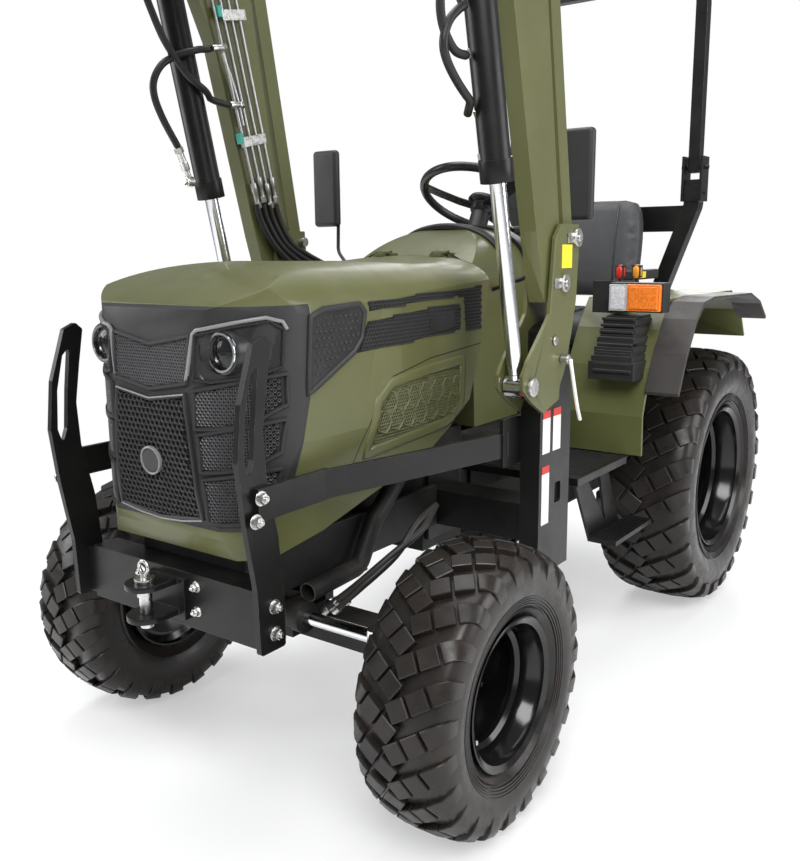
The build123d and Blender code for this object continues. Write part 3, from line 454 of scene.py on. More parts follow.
class Skin:
    """The surface of some CAD nodes, on which panels, meshes and trims are laid."""

    def __init__(self, *names):
        verts, polys = [], []
        for name in names:
            mesh = NODES[name].data
            base = len(verts)
            verts += [mm(v.co) for v in mesh.vertices]
            polys += [[base + i for i in p.vertices] for p in mesh.polygons]
        self.tree = BVHTree.FromPolygons(verts, polys)

    def hit(self, plane, a, b, lift=0.0):
        """The skin's point and normal under a place drawn on a plane.

        'side' and 'far': (a, b) is (y, z) seen from +X and -X; 'front': (x, z) seen from -Y; 'top': (x, y).
        Where the ray misses, the nearest point is taken.
        """
        start, way = {"side": ((BESIDE, a, b), (-1, 0, 0)), "far": ((-BESIDE, a, b), (1, 0, 0)),
                      "front": ((a, AHEAD, b), (0, 1, 0)), "top": ((a, b, ABOVE), (0, 0, -1))}[plane]
        start, way = Vector(start), Vector(way)
        place, normal, _, _ = self.tree.ray_cast(start, way)
        if place is None:
            place, normal, _, _ = self.tree.find_nearest(start + way * TOWARDS_SKIN)
        if normal.dot(way) > 0:
            normal = -normal
        return place + normal * lift, normal

    def panel(self, form, plane, outline, lift, depth):
        """A panel that follows the skin: its face lifted, its back depth below."""
        area, corners, ring = grid_fill(outline, PANEL_CELL)
        top = [self.hit(plane, a, b, lift) for a, b in area]
        front = [form.bm.verts.new(p) for p, n in top]
        back = [form.bm.verts.new(p - n * depth) for p, n in top]
        for tri in corners:
            form.quad(*(front[i] for i in tri))
            form.quad(*(back[i] for i in reversed(tri)))
        for i, j in zip(ring, ring[1:] + ring[:1]):
            form.quad(front[i], back[i], back[j], front[j])

    def ribbon(self, form, plane, line, width, lift, height, closed=False):
        """A raised trim that follows the skin along a line, half round in section."""
        places = [self.hit(plane, a, b) for a, b in densify(line, RIBBON_CELL, closed)]
        path = [p for p, _ in places]
        root, shoulder, top = lift - 2, lift + height * 0.55, lift + height
        section = [(-width / 2, root), (-width / 2, shoulder), (-width / 4, top), (width / 4, top),
                   (width / 2, shoulder), (width / 2, root)]
        rings = []
        for k, (p, n) in enumerate(places):
            if closed:
                ahead = (path[(k + 1) % len(path)] - path[k - 1]).normalized()
            else:
                ahead = way_along(path, k)
            side = ahead.cross(n).normalized()
            rings.append([p + side * a + n * b for a, b in section])
        if closed:
            rings.append(rings[0])
        form.faces_of(rings, close_ends=not closed)

    def seats(self, plane, outline, pitch, lift):
        """Hexagonal lattice of places inside the outline: (place, normal) pairs."""
        xs, ys = [p[0] for p in outline], [p[1] for p in outline]
        row = pitch * sqrt(3) / 2
        out = []
        for j in range(int((max(ys) - min(ys)) / row) + 2):
            for i in range(int((max(xs) - min(xs)) / pitch) + 2):
                a = min(xs) + (i + 0.5 * (j % 2)) * pitch
                b = min(ys) + j * row
                if inside((a, b), outline):
                    out.append(self.hit(plane, a, b, lift))
        return out


def densify(line, cell, closed=False):
    pairs = list(zip(line, line[1:] + (line[:1] if closed else [])))
    out = []
    for (a0, b0), (a1, b1) in pairs:
        n = max(1, ceil(hypot(a1 - a0, b1 - b0) / cell))
        out += [(a0 + (a1 - a0) * k / n, b0 + (b1 - b0) * k / n) for k in range(n)]
    if not closed:
        out.append(line[-1])
    return out


def grid_fill(outline, cell):
    """Triangles over a 2-D outline, with its border points first."""
    border = densify(list(outline), cell, True)
    count = len(border)
    points = [Vector(p) for p in border]
    xs, ys = [p[0] for p in border], [p[1] for p in border]
    nx, ny = ceil((max(xs) - min(xs)) / cell), ceil((max(ys) - min(ys)) / cell)
    for i in range(1, nx):
        for j in range(1, ny):
            p = (min(xs) + (i + 0.5 * (j % 2)) * cell, min(ys) + j * cell)
            near = min(hypot(p[0] - q[0], p[1] - q[1]) for q in border)
            if near > cell * 0.5 and inside(p, border):
                points.append(Vector(p))
    edges = [(k, (k + 1) % count) for k in range(count)]
    verts, _, faces, vert_from, _, _ = delaunay_2d_cdt(points, edges, [list(range(count))], 1, 1e-4)
    order = {}
    for new, old in enumerate(vert_from):
        for source in old:
            order[source] = new
    ring = [order[k] for k in range(count)]
    return [tuple(v) for v in verts], faces, ring


# Geometry Nodes: repeats round an axis, and parts seated on many places

def tree_start(name, inputs):
    """A new tree with a Geometry in and out, and the further inputs as name -> kind."""
    tree = bpy.data.node_groups.new(name, "GeometryNodeTree")
    tree.interface.new_socket("Geometry", in_out="INPUT", socket_type="NodeSocketGeometry")
    tree.interface.new_socket("Geometry", in_out="OUTPUT", socket_type="NodeSocketGeometry")
    for key, kind in inputs.items():
        tree.interface.new_socket(key, in_out="INPUT", socket_type="NodeSocket" + kind)
    return tree, tree.nodes.new("NodeGroupInput"), tree.nodes.new("NodeGroupOutput")


def tree_end(tree, source, output, inputs):
    """Makes the instances real, gives them the Finish and joins them to the output."""
    real = tree.nodes.new("GeometryNodeRealizeInstances")
    finish = tree.nodes.new("GeometryNodeSetMaterial")
    tree.links.new(source, real.inputs["Geometry"])
    tree.links.new(real.outputs["Geometry"], finish.inputs["Geometry"])
    tree.links.new(inputs.outputs["Finish"], finish.inputs["Material"])
    tree.links.new(finish.outputs["Geometry"], output.inputs["Geometry"])


def ring_tree():
    """Repeats the incoming mesh Count times round the X axis through Centre."""
    if "ring" in TREES:
        return TREES["ring"]
    tree, inputs, output = tree_start("Repeat round an axis",
                                      {"Count": "Int", "Centre": "Vector", "Finish": "Material"})
    new, link = tree.nodes.new, tree.links.new
    points = new("GeometryNodePoints")
    link(inputs.outputs["Count"], points.inputs["Count"])
    link(inputs.outputs["Centre"], points.inputs["Position"])
    index = new("GeometryNodeInputIndex")
    step = new("ShaderNodeMath")
    step.operation = "DIVIDE"
    step.inputs[0].default_value = 2 * pi
    link(inputs.outputs["Count"], step.inputs[1])
    angle = new("ShaderNodeMath")
    angle.operation = "MULTIPLY"
    link(index.outputs[0], angle.inputs[0])
    link(step.outputs[0], angle.inputs[1])
    turn = new("ShaderNodeCombineXYZ")
    link(angle.outputs[0], turn.inputs["X"])
    euler = new("FunctionNodeEulerToRotation")
    link(turn.outputs[0], euler.inputs[0])
    place = new("GeometryNodeInstanceOnPoints")
    link(points.outputs[0], place.inputs["Points"])
    link(inputs.outputs["Geometry"], place.inputs["Instance"])
    link(euler.outputs[0], place.inputs["Rotation"])
    tree_end(tree, place.outputs[0], output, inputs)
    TREES["ring"] = tree
    return tree


def seat_tree():
    """Puts one part on every incoming point, its Z along the point's facing and its X along its lead."""
    if "seat" in TREES:
        return TREES["seat"]
    tree, inputs, output = tree_start("Seat a part on places", {"Part": "Object", "Finish": "Material"})
    new, link = tree.nodes.new, tree.links.new
    turn = None
    for axis, attribute in (("Z", "facing"), ("X", "lead")):
        read = new("GeometryNodeInputNamedAttribute")
        read.data_type = "FLOAT_VECTOR"
        read.inputs["Name"].default_value = attribute
        align = new("FunctionNodeAlignRotationToVector")
        align.axis = axis
        if turn is not None:
            align.pivot_axis = "Z"
            link(turn, align.inputs["Rotation"])
        link(read.outputs["Attribute"], align.inputs["Vector"])
        turn = align.outputs["Rotation"]
    part = new("GeometryNodeObjectInfo")
    link(inputs.outputs["Part"], part.inputs["Object"])
    place = new("GeometryNodeInstanceOnPoints")
    link(inputs.outputs["Geometry"], place.inputs["Points"])
    link(part.outputs["Geometry"], place.inputs["Instance"])
    link(turn, place.inputs["Rotation"])
    tree_end(tree, place.outputs[0], output, inputs)
    TREES["seat"] = tree
    return tree


def run_tree(name, carrier, tree, values):
    """Applies a tree to the carrier mesh and returns the result as a plain mesh."""
    source = bpy.data.objects.new(name + " source", carrier)
    bpy.context.scene.collection.objects.link(source)
    modifier = source.modifiers.new("repeat", "NODES")
    modifier.node_group = tree
    for socket in tree.interface.items_tree:
        if socket.in_out == "INPUT" and socket.name in values:
            modifier[socket.identifier] = values[socket.name]
    bpy.context.view_layer.update()
    graph = bpy.context.evaluated_depsgraph_get()
    mesh = bpy.data.meshes.new_from_object(source.evaluated_get(graph))
    source.modifiers.clear()
    bpy.data.objects.remove(source)
    return mesh


def seat_parts(name, places, part, material, body, lead=(0, 0, 1)):
    """Sets a copy of the part on each place, a pair of a point in mm and the way it faces."""
    carrier = bpy.data.meshes.new(name + " places")
    carrier.from_pydata([at(*p[0]) for p in places], [], [])
    facing = carrier.attributes.new("facing", "FLOAT_VECTOR", "POINT")
    leads = carrier.attributes.new("lead", "FLOAT_VECTOR", "POINT")
    for k, (_, way) in enumerate(places):
        facing.data[k].vector = Vector(way)
        leads.data[k].vector = Vector(lead)
    holder = bpy.data.objects.new(name + " part", part)
    bpy.context.scene.collection.objects.link(holder)
    mesh = run_tree(name, carrier, seat_tree(), {"Part": holder, "Finish": MATERIALS[material]})
    bpy.data.objects.remove(holder)
    finish_piece(name, mesh, material, body, closed=False)


def part_mesh(form, soften=0.0):
    """A small part drawn round the origin in millimetres, returned as a mesh in metres."""
    mesh = bpy.data.meshes.new("part")
    bmesh.ops.remove_doubles(form.bm, verts=form.bm.verts, dist=1e-4)
    bmesh.ops.recalc_face_normals(form.bm, faces=form.bm.faces)
    if soften:
        edges = [e for e in form.bm.edges if e.calc_face_angle(0) > 0.5]
        bmesh.ops.bevel(form.bm, geom=edges, offset=soften, segments=1, affect="EDGES")
    for vert in form.bm.verts:
        vert.co = vert.co / 1000
    form.bm.to_mesh(mesh)
    form.bm.free()
    return mesh


def turned_part(*profiles, sides=6, closed=False):
    """A small part turned round Z from its profiles."""
    form = Form()
    for profile in profiles:
        form.lathe(profile, (0, 0, 0), (0, 0, 1), sides, closed)
    return part_mesh(form)


def bolt_part(across, height, washer):
    """Hexagon head on a washer, with the bolt's end showing."""
    form = Form()
    form.disc(washer, 2.5, (0, 0, -1), (0, 0, 1), 20, 0.6)
    r = across / sqrt(3)
    head = [(0, 1), (r, 1), (r, height - 1), (r * 0.86, height + 1), (0, height + 1)]
    end = [(0, height), (across * 0.28, height), (across * 0.28, height + 5), (across * 0.2, height + 6.5),
           (0, height + 6.5)]
    form.lathe(head, (0, 0, 0), (0, 0, 1), 6)
    form.lathe(end, (0, 0, 0), (0, 0, 1), 12)
    return part_mesh(form)


def hexagon_part(pitch, rib, height):
    """One cell of a perforated sheet: a ring whose outside fills the pitch and whose hole is the opening."""
    outer, inner = pitch / sqrt(3) * 1.02, pitch / sqrt(3) - rib
    return turned_part([(outer, -2), (outer, height * 0.5), (outer - rib * 0.25, height),
                        (inner, height * 0.6),
                        (inner, -2)], closed=True)


# The photographed pieces

FRONT_RADIUS, REAR_RADIUS = 295.0, 415.0
RIMS = {FRONT_RADIUS: 166.0, REAR_RADIUS: 240.0}
NUTS = {FRONT_RADIUS: (6, 62.0), REAR_RADIUS: (8, 88.0)}    # count and circle
# Half the track, radius, width and the axle's y and z
FRONT = (495.0, FRONT_RADIUS, 208.0, -1500.0, FRONT_RADIUS)
REAR = (395.0, REAR_RADIUS, 290.0, 0.0, REAR_RADIUS)
WHEELS = {"front_left": (1, *FRONT), "front_right": (-1, *FRONT), "rear_left": (1, *REAR),
          "rear_right": (-1, *REAR)}
# The lugs, drawn for a tyre DRAWN_WIDTH wide and scaled to the others: slopes of a lug's middle line
# near the tyre's middle and on the shoulder, where it bends and over what length, and its share of the pitch
DRAWN_WIDTH = 208.0
LUG_STEEP, LUG_FLAT = 0.66, 0.10
LUG_BEND, LUG_EASE = 84, 34
LUG_SHARE = 0.48
LUG_TAPER = 2.5
RIM_SHARE, DISC_SHARE = 0.86, 0.45    # the rim's share of the tyre's width, and the disc's of half the rim's
SIDEWALL_RIDGES = 4
TURNS = 96


def tyre_profile(radius, width):
    """Carcass outline from bead to bead as (radius, offset across)."""
    half = width / 2
    base = radius - sizes().lug_depth * 1000
    rim_r = RIMS[radius]
    side = [(rim_r - 20, 0.70), (rim_r - 4, 0.80), (rim_r + 6, 0.90), (rim_r + 10, 0.86), (rim_r + 18, 0.90),
            (rim_r + (base - rim_r) * 0.38, 0.985), (rim_r + (base - rim_r) * 0.52, 1.0),
            (rim_r + (base - rim_r) * 0.70, 0.975), (base * 0.965, 0.90), (base * 0.99, 0.78), (base, 0.60)]
    lining = [(rim_r - 20, 0.55), (rim_r + 20, 0.60), (base * 0.93, 0.80), (base * 0.96, 0.0)]
    outer = [(r, f * half) for r, f in side] + [(base + 1, half * 0.3), (base + 1, 0)]
    inner = [(r, f * half) for r, f in lining]
    return (outer + [(r, -h) for r, h in reversed(outer[:-1])] + [(r, -h) for r, h in inner[:-1]]
            + inner[::-1])


def crown(radius, width):
    """Outer line of the lugs: distance along the line from the middle -> (radius, offset across)."""
    half = width / 2
    line = [(radius, 0.0), (radius - 2, half * 0.40), (radius - 7, half * 0.68), (radius - 16, half * 0.88),
            (radius - 32, half * 0.985), (radius - 52, half * 1.0), (radius - 74, half * 0.985)]
    lengths = [0.0]
    for (r0, h0), (r1, h1) in zip(line, line[1:]):
        lengths.append(lengths[-1] + hypot(r1 - r0, h1 - h0))

    def place(along):
        if along < 0:
            r, h = place(-along)
            return r, -h
        along = min(along, lengths[-1])
        for k in range(len(line) - 1):
            if along <= lengths[k + 1] + 1e-6:
                t = (along - lengths[k]) / (lengths[k + 1] - lengths[k])
                (r0, h0), (r1, h1) = line[k], line[k + 1]
                return r0 + (r1 - r0) * t, h0 + (h1 - h0) * t
        return line[-1]
    return place, lengths[-1]


def tread_block(form, place, side, turn, rows, radius, depth, taper):
    """One block: rows of two corners, each (distance from the middle, arc) in mm on the outer radius."""
    rings = []
    for row in rows:
        tops, lows = [], []
        for (u, s), grow in zip(row, (-taper, taper)):
            r, h = place(u)
            ahead = Vector(place(u + 3)) - Vector(place(u - 3))
            out = Vector((ahead[1], -ahead[0])).normalized()
            tops.append((r, side * h, (s + turn) / radius))
            lows.append((r - out[0] * depth, side * (h - out[1] * depth), (s + grow + turn) / radius))
        ring = [Vector((h, r * sin(a), r * cos(a))) for r, h, a in (tops[0], tops[1], lows[1], lows[0])]
        rings.append(ring if side > 0 else list(reversed(ring)))
    form.faces_of(rings)


def lug_line(u, bend_at, ease):
    """Middle line of a half lug: its arc at the distance u from the tyre's middle, and its slope there."""
    steep, flat = LUG_STEEP, LUG_FLAT
    over = max(0.0, u - bend_at)
    curve = min(over, ease)
    arc = (steep * min(u, bend_at) + steep * curve + (flat - steep) * curve ** 2 / (2 * ease)
           + flat * (over - curve))
    return arc, steep + (flat - steep) * curve / ease


def lug_pitch(form, radius, width, count, depth):
    """Both half lugs of one pitch, drawn about a wheel centred on the origin with its axle along X."""
    place, reach = crown(radius, width)
    pitch = 2 * pi * radius / count
    scale = width / DRAWN_WIDTH
    across = pitch * LUG_SHARE
    blocks = ((-5, 28, 2), (33, 66, 2), (71, reach / scale - 8, 8))
    for side, shift in ((1, 0.0), (-1, pitch / 2)):
        for u0, u1, steps in blocks:
            rows = []
            for k in range(steps + 1):
                u = (u0 + (u1 - u0) * k / steps) * scale
                arc, slope = lug_line(u, LUG_BEND * scale, LUG_EASE * scale)
                lead = across / 2 / hypot(1, slope)
                rows.append(((u + slope * lead, arc - lead), (u - slope * lead, arc + lead)))
            tread_block(form, place, side, shift, rows, radius, depth, LUG_TAPER)


def make_tyre(name):
    """Carcass with ridges near the rim, and the lugs repeated round it."""
    sign, x, radius, width, y, z = WHEELS[name]
    s = sizes()
    centre, axle = (sign * x, y, z), (sign, 0, 0)
    form = Form()
    form.lathe(tyre_profile(radius, width), centre, axle, TURNS, closed=True)
    half = width / 2
    for k in range(SIDEWALL_RIDGES):
        r = RIMS[radius] + 14 + 5.5 * k
        side = half * (0.895 + 0.017 * k)
        form.lathe([(r - 2, side - 3), (r - 0.8, side + 1.6), (r + 0.8, side + 1.6), (r + 2, side - 3)],
                   centre, axle, TURNS)
    tyre = form.piece("carcass_" + name, "tyre", "wheel_" + name, closed=False, crease=50)
    count = s.front_lugs if radius == FRONT_RADIUS else s.rear_lugs
    lugs = Form()
    lug_pitch(lugs, radius, width, count, s.lug_depth * 1000 + 3)
    ring = run_tree("tread_" + name, part_mesh(lugs, soften=1.6), ring_tree(),
                    {"Count": count, "Centre": at(*centre), "Finish": MATERIALS["tyre"]})
    finish_piece("tread_" + name, ring, "tyre", "wheel_" + name, closed=False, crease=30)
    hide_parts("tyre_" + name)


def disc_offset(width):
    """Where the wheel disc stands along the axle, measured outwards from the wheel's middle."""
    return -width / 2 * RIM_SHARE * DISC_SHARE


def rim_profile(radius, width):
    """Steel wheel section from the hub hole out to the front flange and back inside."""
    half = width / 2 * RIM_SHARE
    rim_r = RIMS[radius]
    b = rim_r - 22
    d = b - 16
    disc = disc_offset(width)
    front = [(26, disc + 5), (b * 0.30, disc + 5), (b * 0.34, disc + 9), (b * 0.40, disc + 9),
             (b * 0.44, disc + 4),
             (b * 0.60, disc + 5), (b * 0.68, disc - 2), (b * 0.80, disc - 14), (d - 7, disc - 12),
             (d - 6, disc),
             (d - 6, half * 0.10), (d - 12, half * 0.16), (d - 12, half * 0.30), (d - 3, half * 0.38),
             (d - 2, half * 0.60), (b - 6, half * 0.76), (b - 4, half * 0.93), (b + 3, half * 0.97),
             (b + 8, half),
             (b + 11, half * 0.985), (b + 9, half * 0.955), (b + 1, half * 0.92)]
    back = [(b, half * 0.70), (d, half * 0.55), (d, -half * 0.62), (b, -half * 0.70), (b, -half),
            (b - 5, -half),
            (b - 5, -half * 0.80), (d - 5, -half * 0.72), (d - 5, disc - 24), (b * 0.80, disc - 24),
            (b * 0.62, disc - 5), (26, disc - 5)]
    return front + back


def make_rim(name):
    """Wheel disc with its nuts, the valve and the hub cap."""
    sign, x, radius, width, y, z = WHEELS[name]
    body, axle = "wheel_" + name, (sign, 0, 0)
    form = Form()
    form.lathe(rim_profile(radius, width), (sign * x, y, z), axle, TURNS, closed=True)
    form.piece("wheel_disc_" + name, "black_gloss", body, closed=True, crease=38, replaces=("rim_" + name,))
    disc = disc_offset(width) + 5
    count, circle = NUTS[radius]
    places = []
    for k in range(count):
        a = 2 * pi * k / count
        places.append((Vector((sign * (x + disc), y + circle * sin(a), z + circle * cos(a))), axle))
    seat_parts("wheel_nuts_" + name, places, bolt_part(19, 15, 13), "black_gloss", body)
    valve = Form()
    rim_r = RIMS[radius] - 44
    stem = Vector((sign * (x + width * 0.12), y - rim_r * 0.7, z - rim_r * 0.7))
    valve.disc(4.5, 26, stem, (sign, 0.25, 0.25), 12, 1)
    valve.disc(5.5, 9, stem + Vector((sign * 20, 5, 5)), (sign, 0.25, 0.25), 12, 1)
    valve.piece("valve_" + name, "zinc", body)
    hub = Form()
    hub.disc(24, 26, (sign * (x + disc - 4), y, z), axle, 32, 3)
    hub.disc(30, 6, (sign * (x + disc), y, z), axle, 32, 2)
    hub.piece("hub_cap_" + name, "cast", body)


def make_wheels():
    for name in WHEELS:
        make_tyre(name)
        make_rim(name)


FRAME_WELD, FRAME_BEVEL = 0.00002, 0.0018


def dress_nodes():
    """Gives each CAD node that stays its finish, with softened edges."""
    finish = {
        "olive": ("dash_cowl", "fenders"),
        "olive_flat": ("boom_arms", "mast_plates", "level_links", "bell_cranks", "hood_shell"),
        "black_paint": ("bumper_beam", "guard_arms", "guard_braces", "tow_clevis", "loader_posts",
                        "foot_deck",
                        "rops_posts", "rops_hoop", "lift_barrels", "tilt_barrels", "bucket", "lower_links"),
        "cast": ("front_axle", "front_frame", "engine_block", "gearbox", "exhaust_pipe", "knuckle_left",
                 "knuckle_right", "drawbar"),
        "plastic": ("grille_mask", "dash_panel", "steering_wheel", "mirrors", "fender_pods", "seat_mount",
                    "hand_levers", "lamp_bodies"),
        "grey_plastic": ("fender_flares",),
        "chrome": ("steering_rod", "lift_rods", "tilt_rods"),
        "zinc": ("mast_pins", "bucket_pins", "tow_pin"),
        "seat": ("seat_cushion", "seat_back"),
        "clear": ("headlamps", "lamp_lenses"),
        "tyre": ("tyre_front_left", "tyre_front_right", "tyre_rear_left", "tyre_rear_right"),
        "black_gloss": ("rim_front_left", "rim_front_right", "rim_rear_left", "rim_rear_right"),
    }
    unbevelled = {"steering_rod", "lift_rods", "tilt_rods", "steering_wheel", "exhaust_pipe"}
    for key, names in finish.items():
        for name in names:
            node = NODES[name]
            node.data.materials.clear()
            node.data.materials.append(MATERIALS[key])
            if name in unbevelled:
                continue
            weld = node.modifiers.new("weld", "WELD")
            weld.merge_threshold = FRAME_WELD
            edge = node.modifiers.new("edge", "BEVEL")
            edge.width = FRAME_BEVEL
            edge.segments = 2
            edge.limit_method = "ANGLE"
            edge.angle_limit = radians(32)
            edge.use_clamp_overlap = True


HEX_GRILLE = [(-93, 893), (0, 879), (93, 893), (104, 780), (113, 668), (0, 654), (-113, 668), (-104, 780)]
TOP_MESH = [(-103, 1000), (0, 982), (103, 1000), (97, 922), (0, 906), (-97, 922)]
SIDE_TIERS = [
    [(120, 903), (180, 916), (238, 930), (238, 880), (205, 850), (160, 842), (120, 840)],
    [(124, 822), (180, 833), (236, 846), (232, 792), (204, 767), (160, 761), (127, 759)],
    [(130, 738), (180, 746), (231, 754), (224, 676), (204, 664), (160, 660), (137, 664)],
]
DOTTED = [(-1690, 1030), (-1655, 1041), (-1548, 1045), (-1536, 1032), (-1546, 985), (-1570, 962),
          (-1700, 900)]
UPPER_STRIP = [(-1513, 1050), (-1333, 1058), (-1062, 1066), (-1060, 970), (-1130, 970), (-1138, 1044),
               (-1170, 1050), (-1380, 1042), (-1513, 1034)]
LOWER_BAND = [(-1520, 1012), (-1340, 1024), (-1170, 1030), (-1157, 1018), (-1157, 971), (-1290, 966),
              (-1384, 960), (-1556, 954)]
PLATE = [(-1290, 1012), (-1190, 1018), (-1190, 978), (-1290, 972)]
VENT = [(-1499, 757), (-1470, 836), (-1433, 863), (-1300, 875), (-1160, 881), (-1166, 800), (-1216, 777)]
VENT_SEAM = [(-1590, 690), (-1572, 709), (-1530, 786), (-1470, 862), (-1432, 893), (-1282, 917),
             (-1060, 930)]


def both_fronts(outline):
    """The outline and its mirror image, for the two sides of the mask."""
    return [outline, [(-a, b) for a, b in reversed(outline)]]


def offset_outline(outline, grow):
    """Moves each corner of a closed outline outwards along its corner's bisector."""
    count = len(outline)
    area = sum(a[0] * b[1] - b[0] * a[1] for a, b in zip(outline, outline[1:] + outline[:1]))
    sign = 1 if area > 0 else -1
    out = []
    for k in range(count):
        a, b, c = (Vector(outline[(k + j) % count]) for j in (-1, 0, 1))
        n0 = Vector(((b - a)[1], -(b - a)[0])).normalized()
        n1 = Vector(((c - b)[1], -(c - b)[0])).normalized()
        n = (n0 + n1).normalized()
        out.append(tuple(b + n * sign * grow / max(0.4, n.dot(n0))))
    return out


def make_grilles():
    """Perforated sheets, frames and satin lips on the mask and the hood's sides."""
    s = sizes()
    skin = Skin("grille_mask", "hood_shell")
    deep, frames, lips = Form(), Form(), Form()
    fine, coarse = [], []
    sheets = [("front", HEX_GRILLE, coarse, s.coarse_cell), ("front", TOP_MESH, fine, s.fine_cell)]
    for tier in SIDE_TIERS:
        sheets += [("front", t, fine, s.fine_cell) for t in both_fronts(tier)]
    for plane, outline, places, cell in sheets:
        # painted shade: a near-black back under each sheet stands for the shade behind its openings
        skin.panel(deep, plane, outline, 1.2, 3.0)
        places += skin.seats(plane, outline, cell * 1000, 1.2)
        skin.ribbon(frames, plane, offset_outline(outline, 4.0), 9.0, 1.0, 6.0, closed=True)
    vents = []
    for plane in ("side", "far"):
        for outline in (UPPER_STRIP, LOWER_BAND):
            # painted shade: a near-black back under each side vent strip
            skin.panel(deep, plane, outline, 0.8, 2.0)
            vents += skin.seats(plane, outline, s.fine_cell * 1350, 0.8)
    deep.piece("grille_backs", "deep", "hood", crease=60)
    frames.piece("grille_frames", "plastic", "hood", crease=40)
    skin.ribbon(lips, "front", [(-97, 899), (0, 885), (97, 899)], 3, 6, 2)
    skin.ribbon(lips, "front", [(-117, 662), (-60, 652), (0, 648), (60, 652), (117, 662)], 3.5, 6, 2)
    for sign in (1, -1):
        line = [(sign * a, b) for a, b in ((101, 924), (108, 960), (116, 1008), (126, 1016), (180, 1028),
                                           (226, 1038), (240, 1030), (243, 1016))]
        skin.ribbon(lips, "front", line, 7, 3, 4)
    lips.piece("bright_lips", "lip", "hood", crease=60)
    for name, places, cell, rib, height, material in (
            ("coarse_grille", coarse, s.coarse_cell * 1000, s.coarse_rib * 1000, 4.5, "plastic"),
            ("fine_grilles", fine, s.fine_cell * 1000, s.fine_rib * 1000, 2.4, "mesh"),
            ("side_grilles", vents, s.fine_cell * 1350, s.fine_rib * 1150, 2.0, "plastic")):
        seat_parts(name, places, hexagon_part(cell, rib, height), material, "hood")


def make_hood_trim():
    """Dotted corner panels, blank plates and the pressed side vents, with painted shade in the panel gaps
    and behind the vent mesh.
    """
    skin = Skin("grille_mask", "hood_shell")
    dotted, frames, plates, gaps, raised, backs = Form(), Form(), Form(), Form(), Form(), Form()
    dots, combs, webs = [], [], []
    for plane in ("side", "far"):
        skin.panel(dotted, plane, DOTTED, 2.0, 4.0)
        skin.ribbon(frames, plane, offset_outline(DOTTED, 5), 12, 0.5, 5.0, closed=True)
        dots += skin.seats(plane, offset_outline(DOTTED, -8), 15.0, 2.0)
        skin.panel(plates, plane, PLATE, 4.5, 4.0)
        # painted shade: a near-black strip along the panel gap
        skin.ribbon(gaps, plane, VENT_SEAM, 3.0, -1.2, 1.6)
        # painted shade: a near-black back behind the vent mesh
        skin.panel(backs, plane, VENT, 0.6, 1.5)
        skin.ribbon(raised, plane, offset_outline(VENT, 16), 26, -1.0, 4.0, closed=True)
        combs += skin.seats(plane, VENT, 8.0, 0.6)
        webs += skin.seats(plane, offset_outline(VENT, -4), 46.0, 1.4)
    # painted shade: a near-black strip along the hood's top panel gap
    skin.ribbon(gaps, "top", [(x, -1020) for x in (-244, -120, 0, 120, 244)], 5, -1.5, 1.8)
    dotted.piece("corner_panels", "smooth_plastic", "hood", crease=50)
    frames.piece("corner_frames", "plastic", "hood", crease=50)
    plates.piece("blank_plates", "smooth_plastic", "hood", crease=50, bevel=1.0)
    gaps.piece("hood_gaps", "deep", "hood", crease=60)
    backs.piece("vent_backs", "deep", "hood", crease=60)
    raised.piece("vent_surround", "olive_flat", "hood", crease=80)
    stud = turned_part([(3.6, -1), (3.2, 1.2), (1.8, 2.4), (0, 2.8)])
    seat_parts("corner_dots", dots, stud, "grey_plastic", "hood")
    seat_parts("vent_mesh", combs, hexagon_part(8.0, 1.9, 1.8), "olive_flat", "hood")
    seat_parts("vent_honeycomb", webs, hexagon_part(46.0, 3.4, 2.6), "olive_flat", "hood", lead=(0, 1, 0))


def make_headlamps():
    """Lamp bowls on dark pockets behind the guard, with a bright ring and a smoked cover."""
    skin = Skin("grille_mask", "hood_shell")
    bowl, ring, pocket, cover = Form(), Form(), Form(), Form()
    recess = [(124, 1004), (180, 1018), (228, 1028), (238, 1015), (236, 950), (214, 936), (150, 926),
              (120, 930)]
    for outline in both_fronts(recess):
        skin.panel(pocket, "front", outline, 1.0, 3.0)
        skin.ribbon(pocket, "front", offset_outline(outline, 3), 7, 0.5, 5, closed=True)
    for sign in (1, -1):
        centre = Vector((sign * 168, -1834, 977))
        bowl.lathe([(0, 44), (13, 40), (25, 24), (31, 4), (33, -4), (40, -6), (43, 2), (43, 46),
                    (0, 50)], centre,
                   (0, 1, 0), 40)
        ring.lathe([(30, 0), (32, -9), (36, -9), (38, -2), (36, 4), (32, 4)], centre, (0, 1, 0), 40,
                   closed=True)
        ring.disc(9, 18, centre + Vector((0, 14, 0)), (0, 1, 0), 20, 3)
        cover.lathe([(0, -8), (12, -7), (24, -4), (31, 0), (31, 2), (24, -2), (12, -5), (0, -6)], centre,
                    (0, 1, 0), 40)
    pocket.piece("lamp_pockets", "smooth_plastic", "hood", crease=50)
    bowl.piece("lamp_bowls", "smooth_plastic", "hood", crease=40)
    ring.piece("lamp_rings", "chrome", "hood", crease=40)
    cover.piece("lamp_covers", "smoke", "hood", crease=60, replaces=("headlamps",))


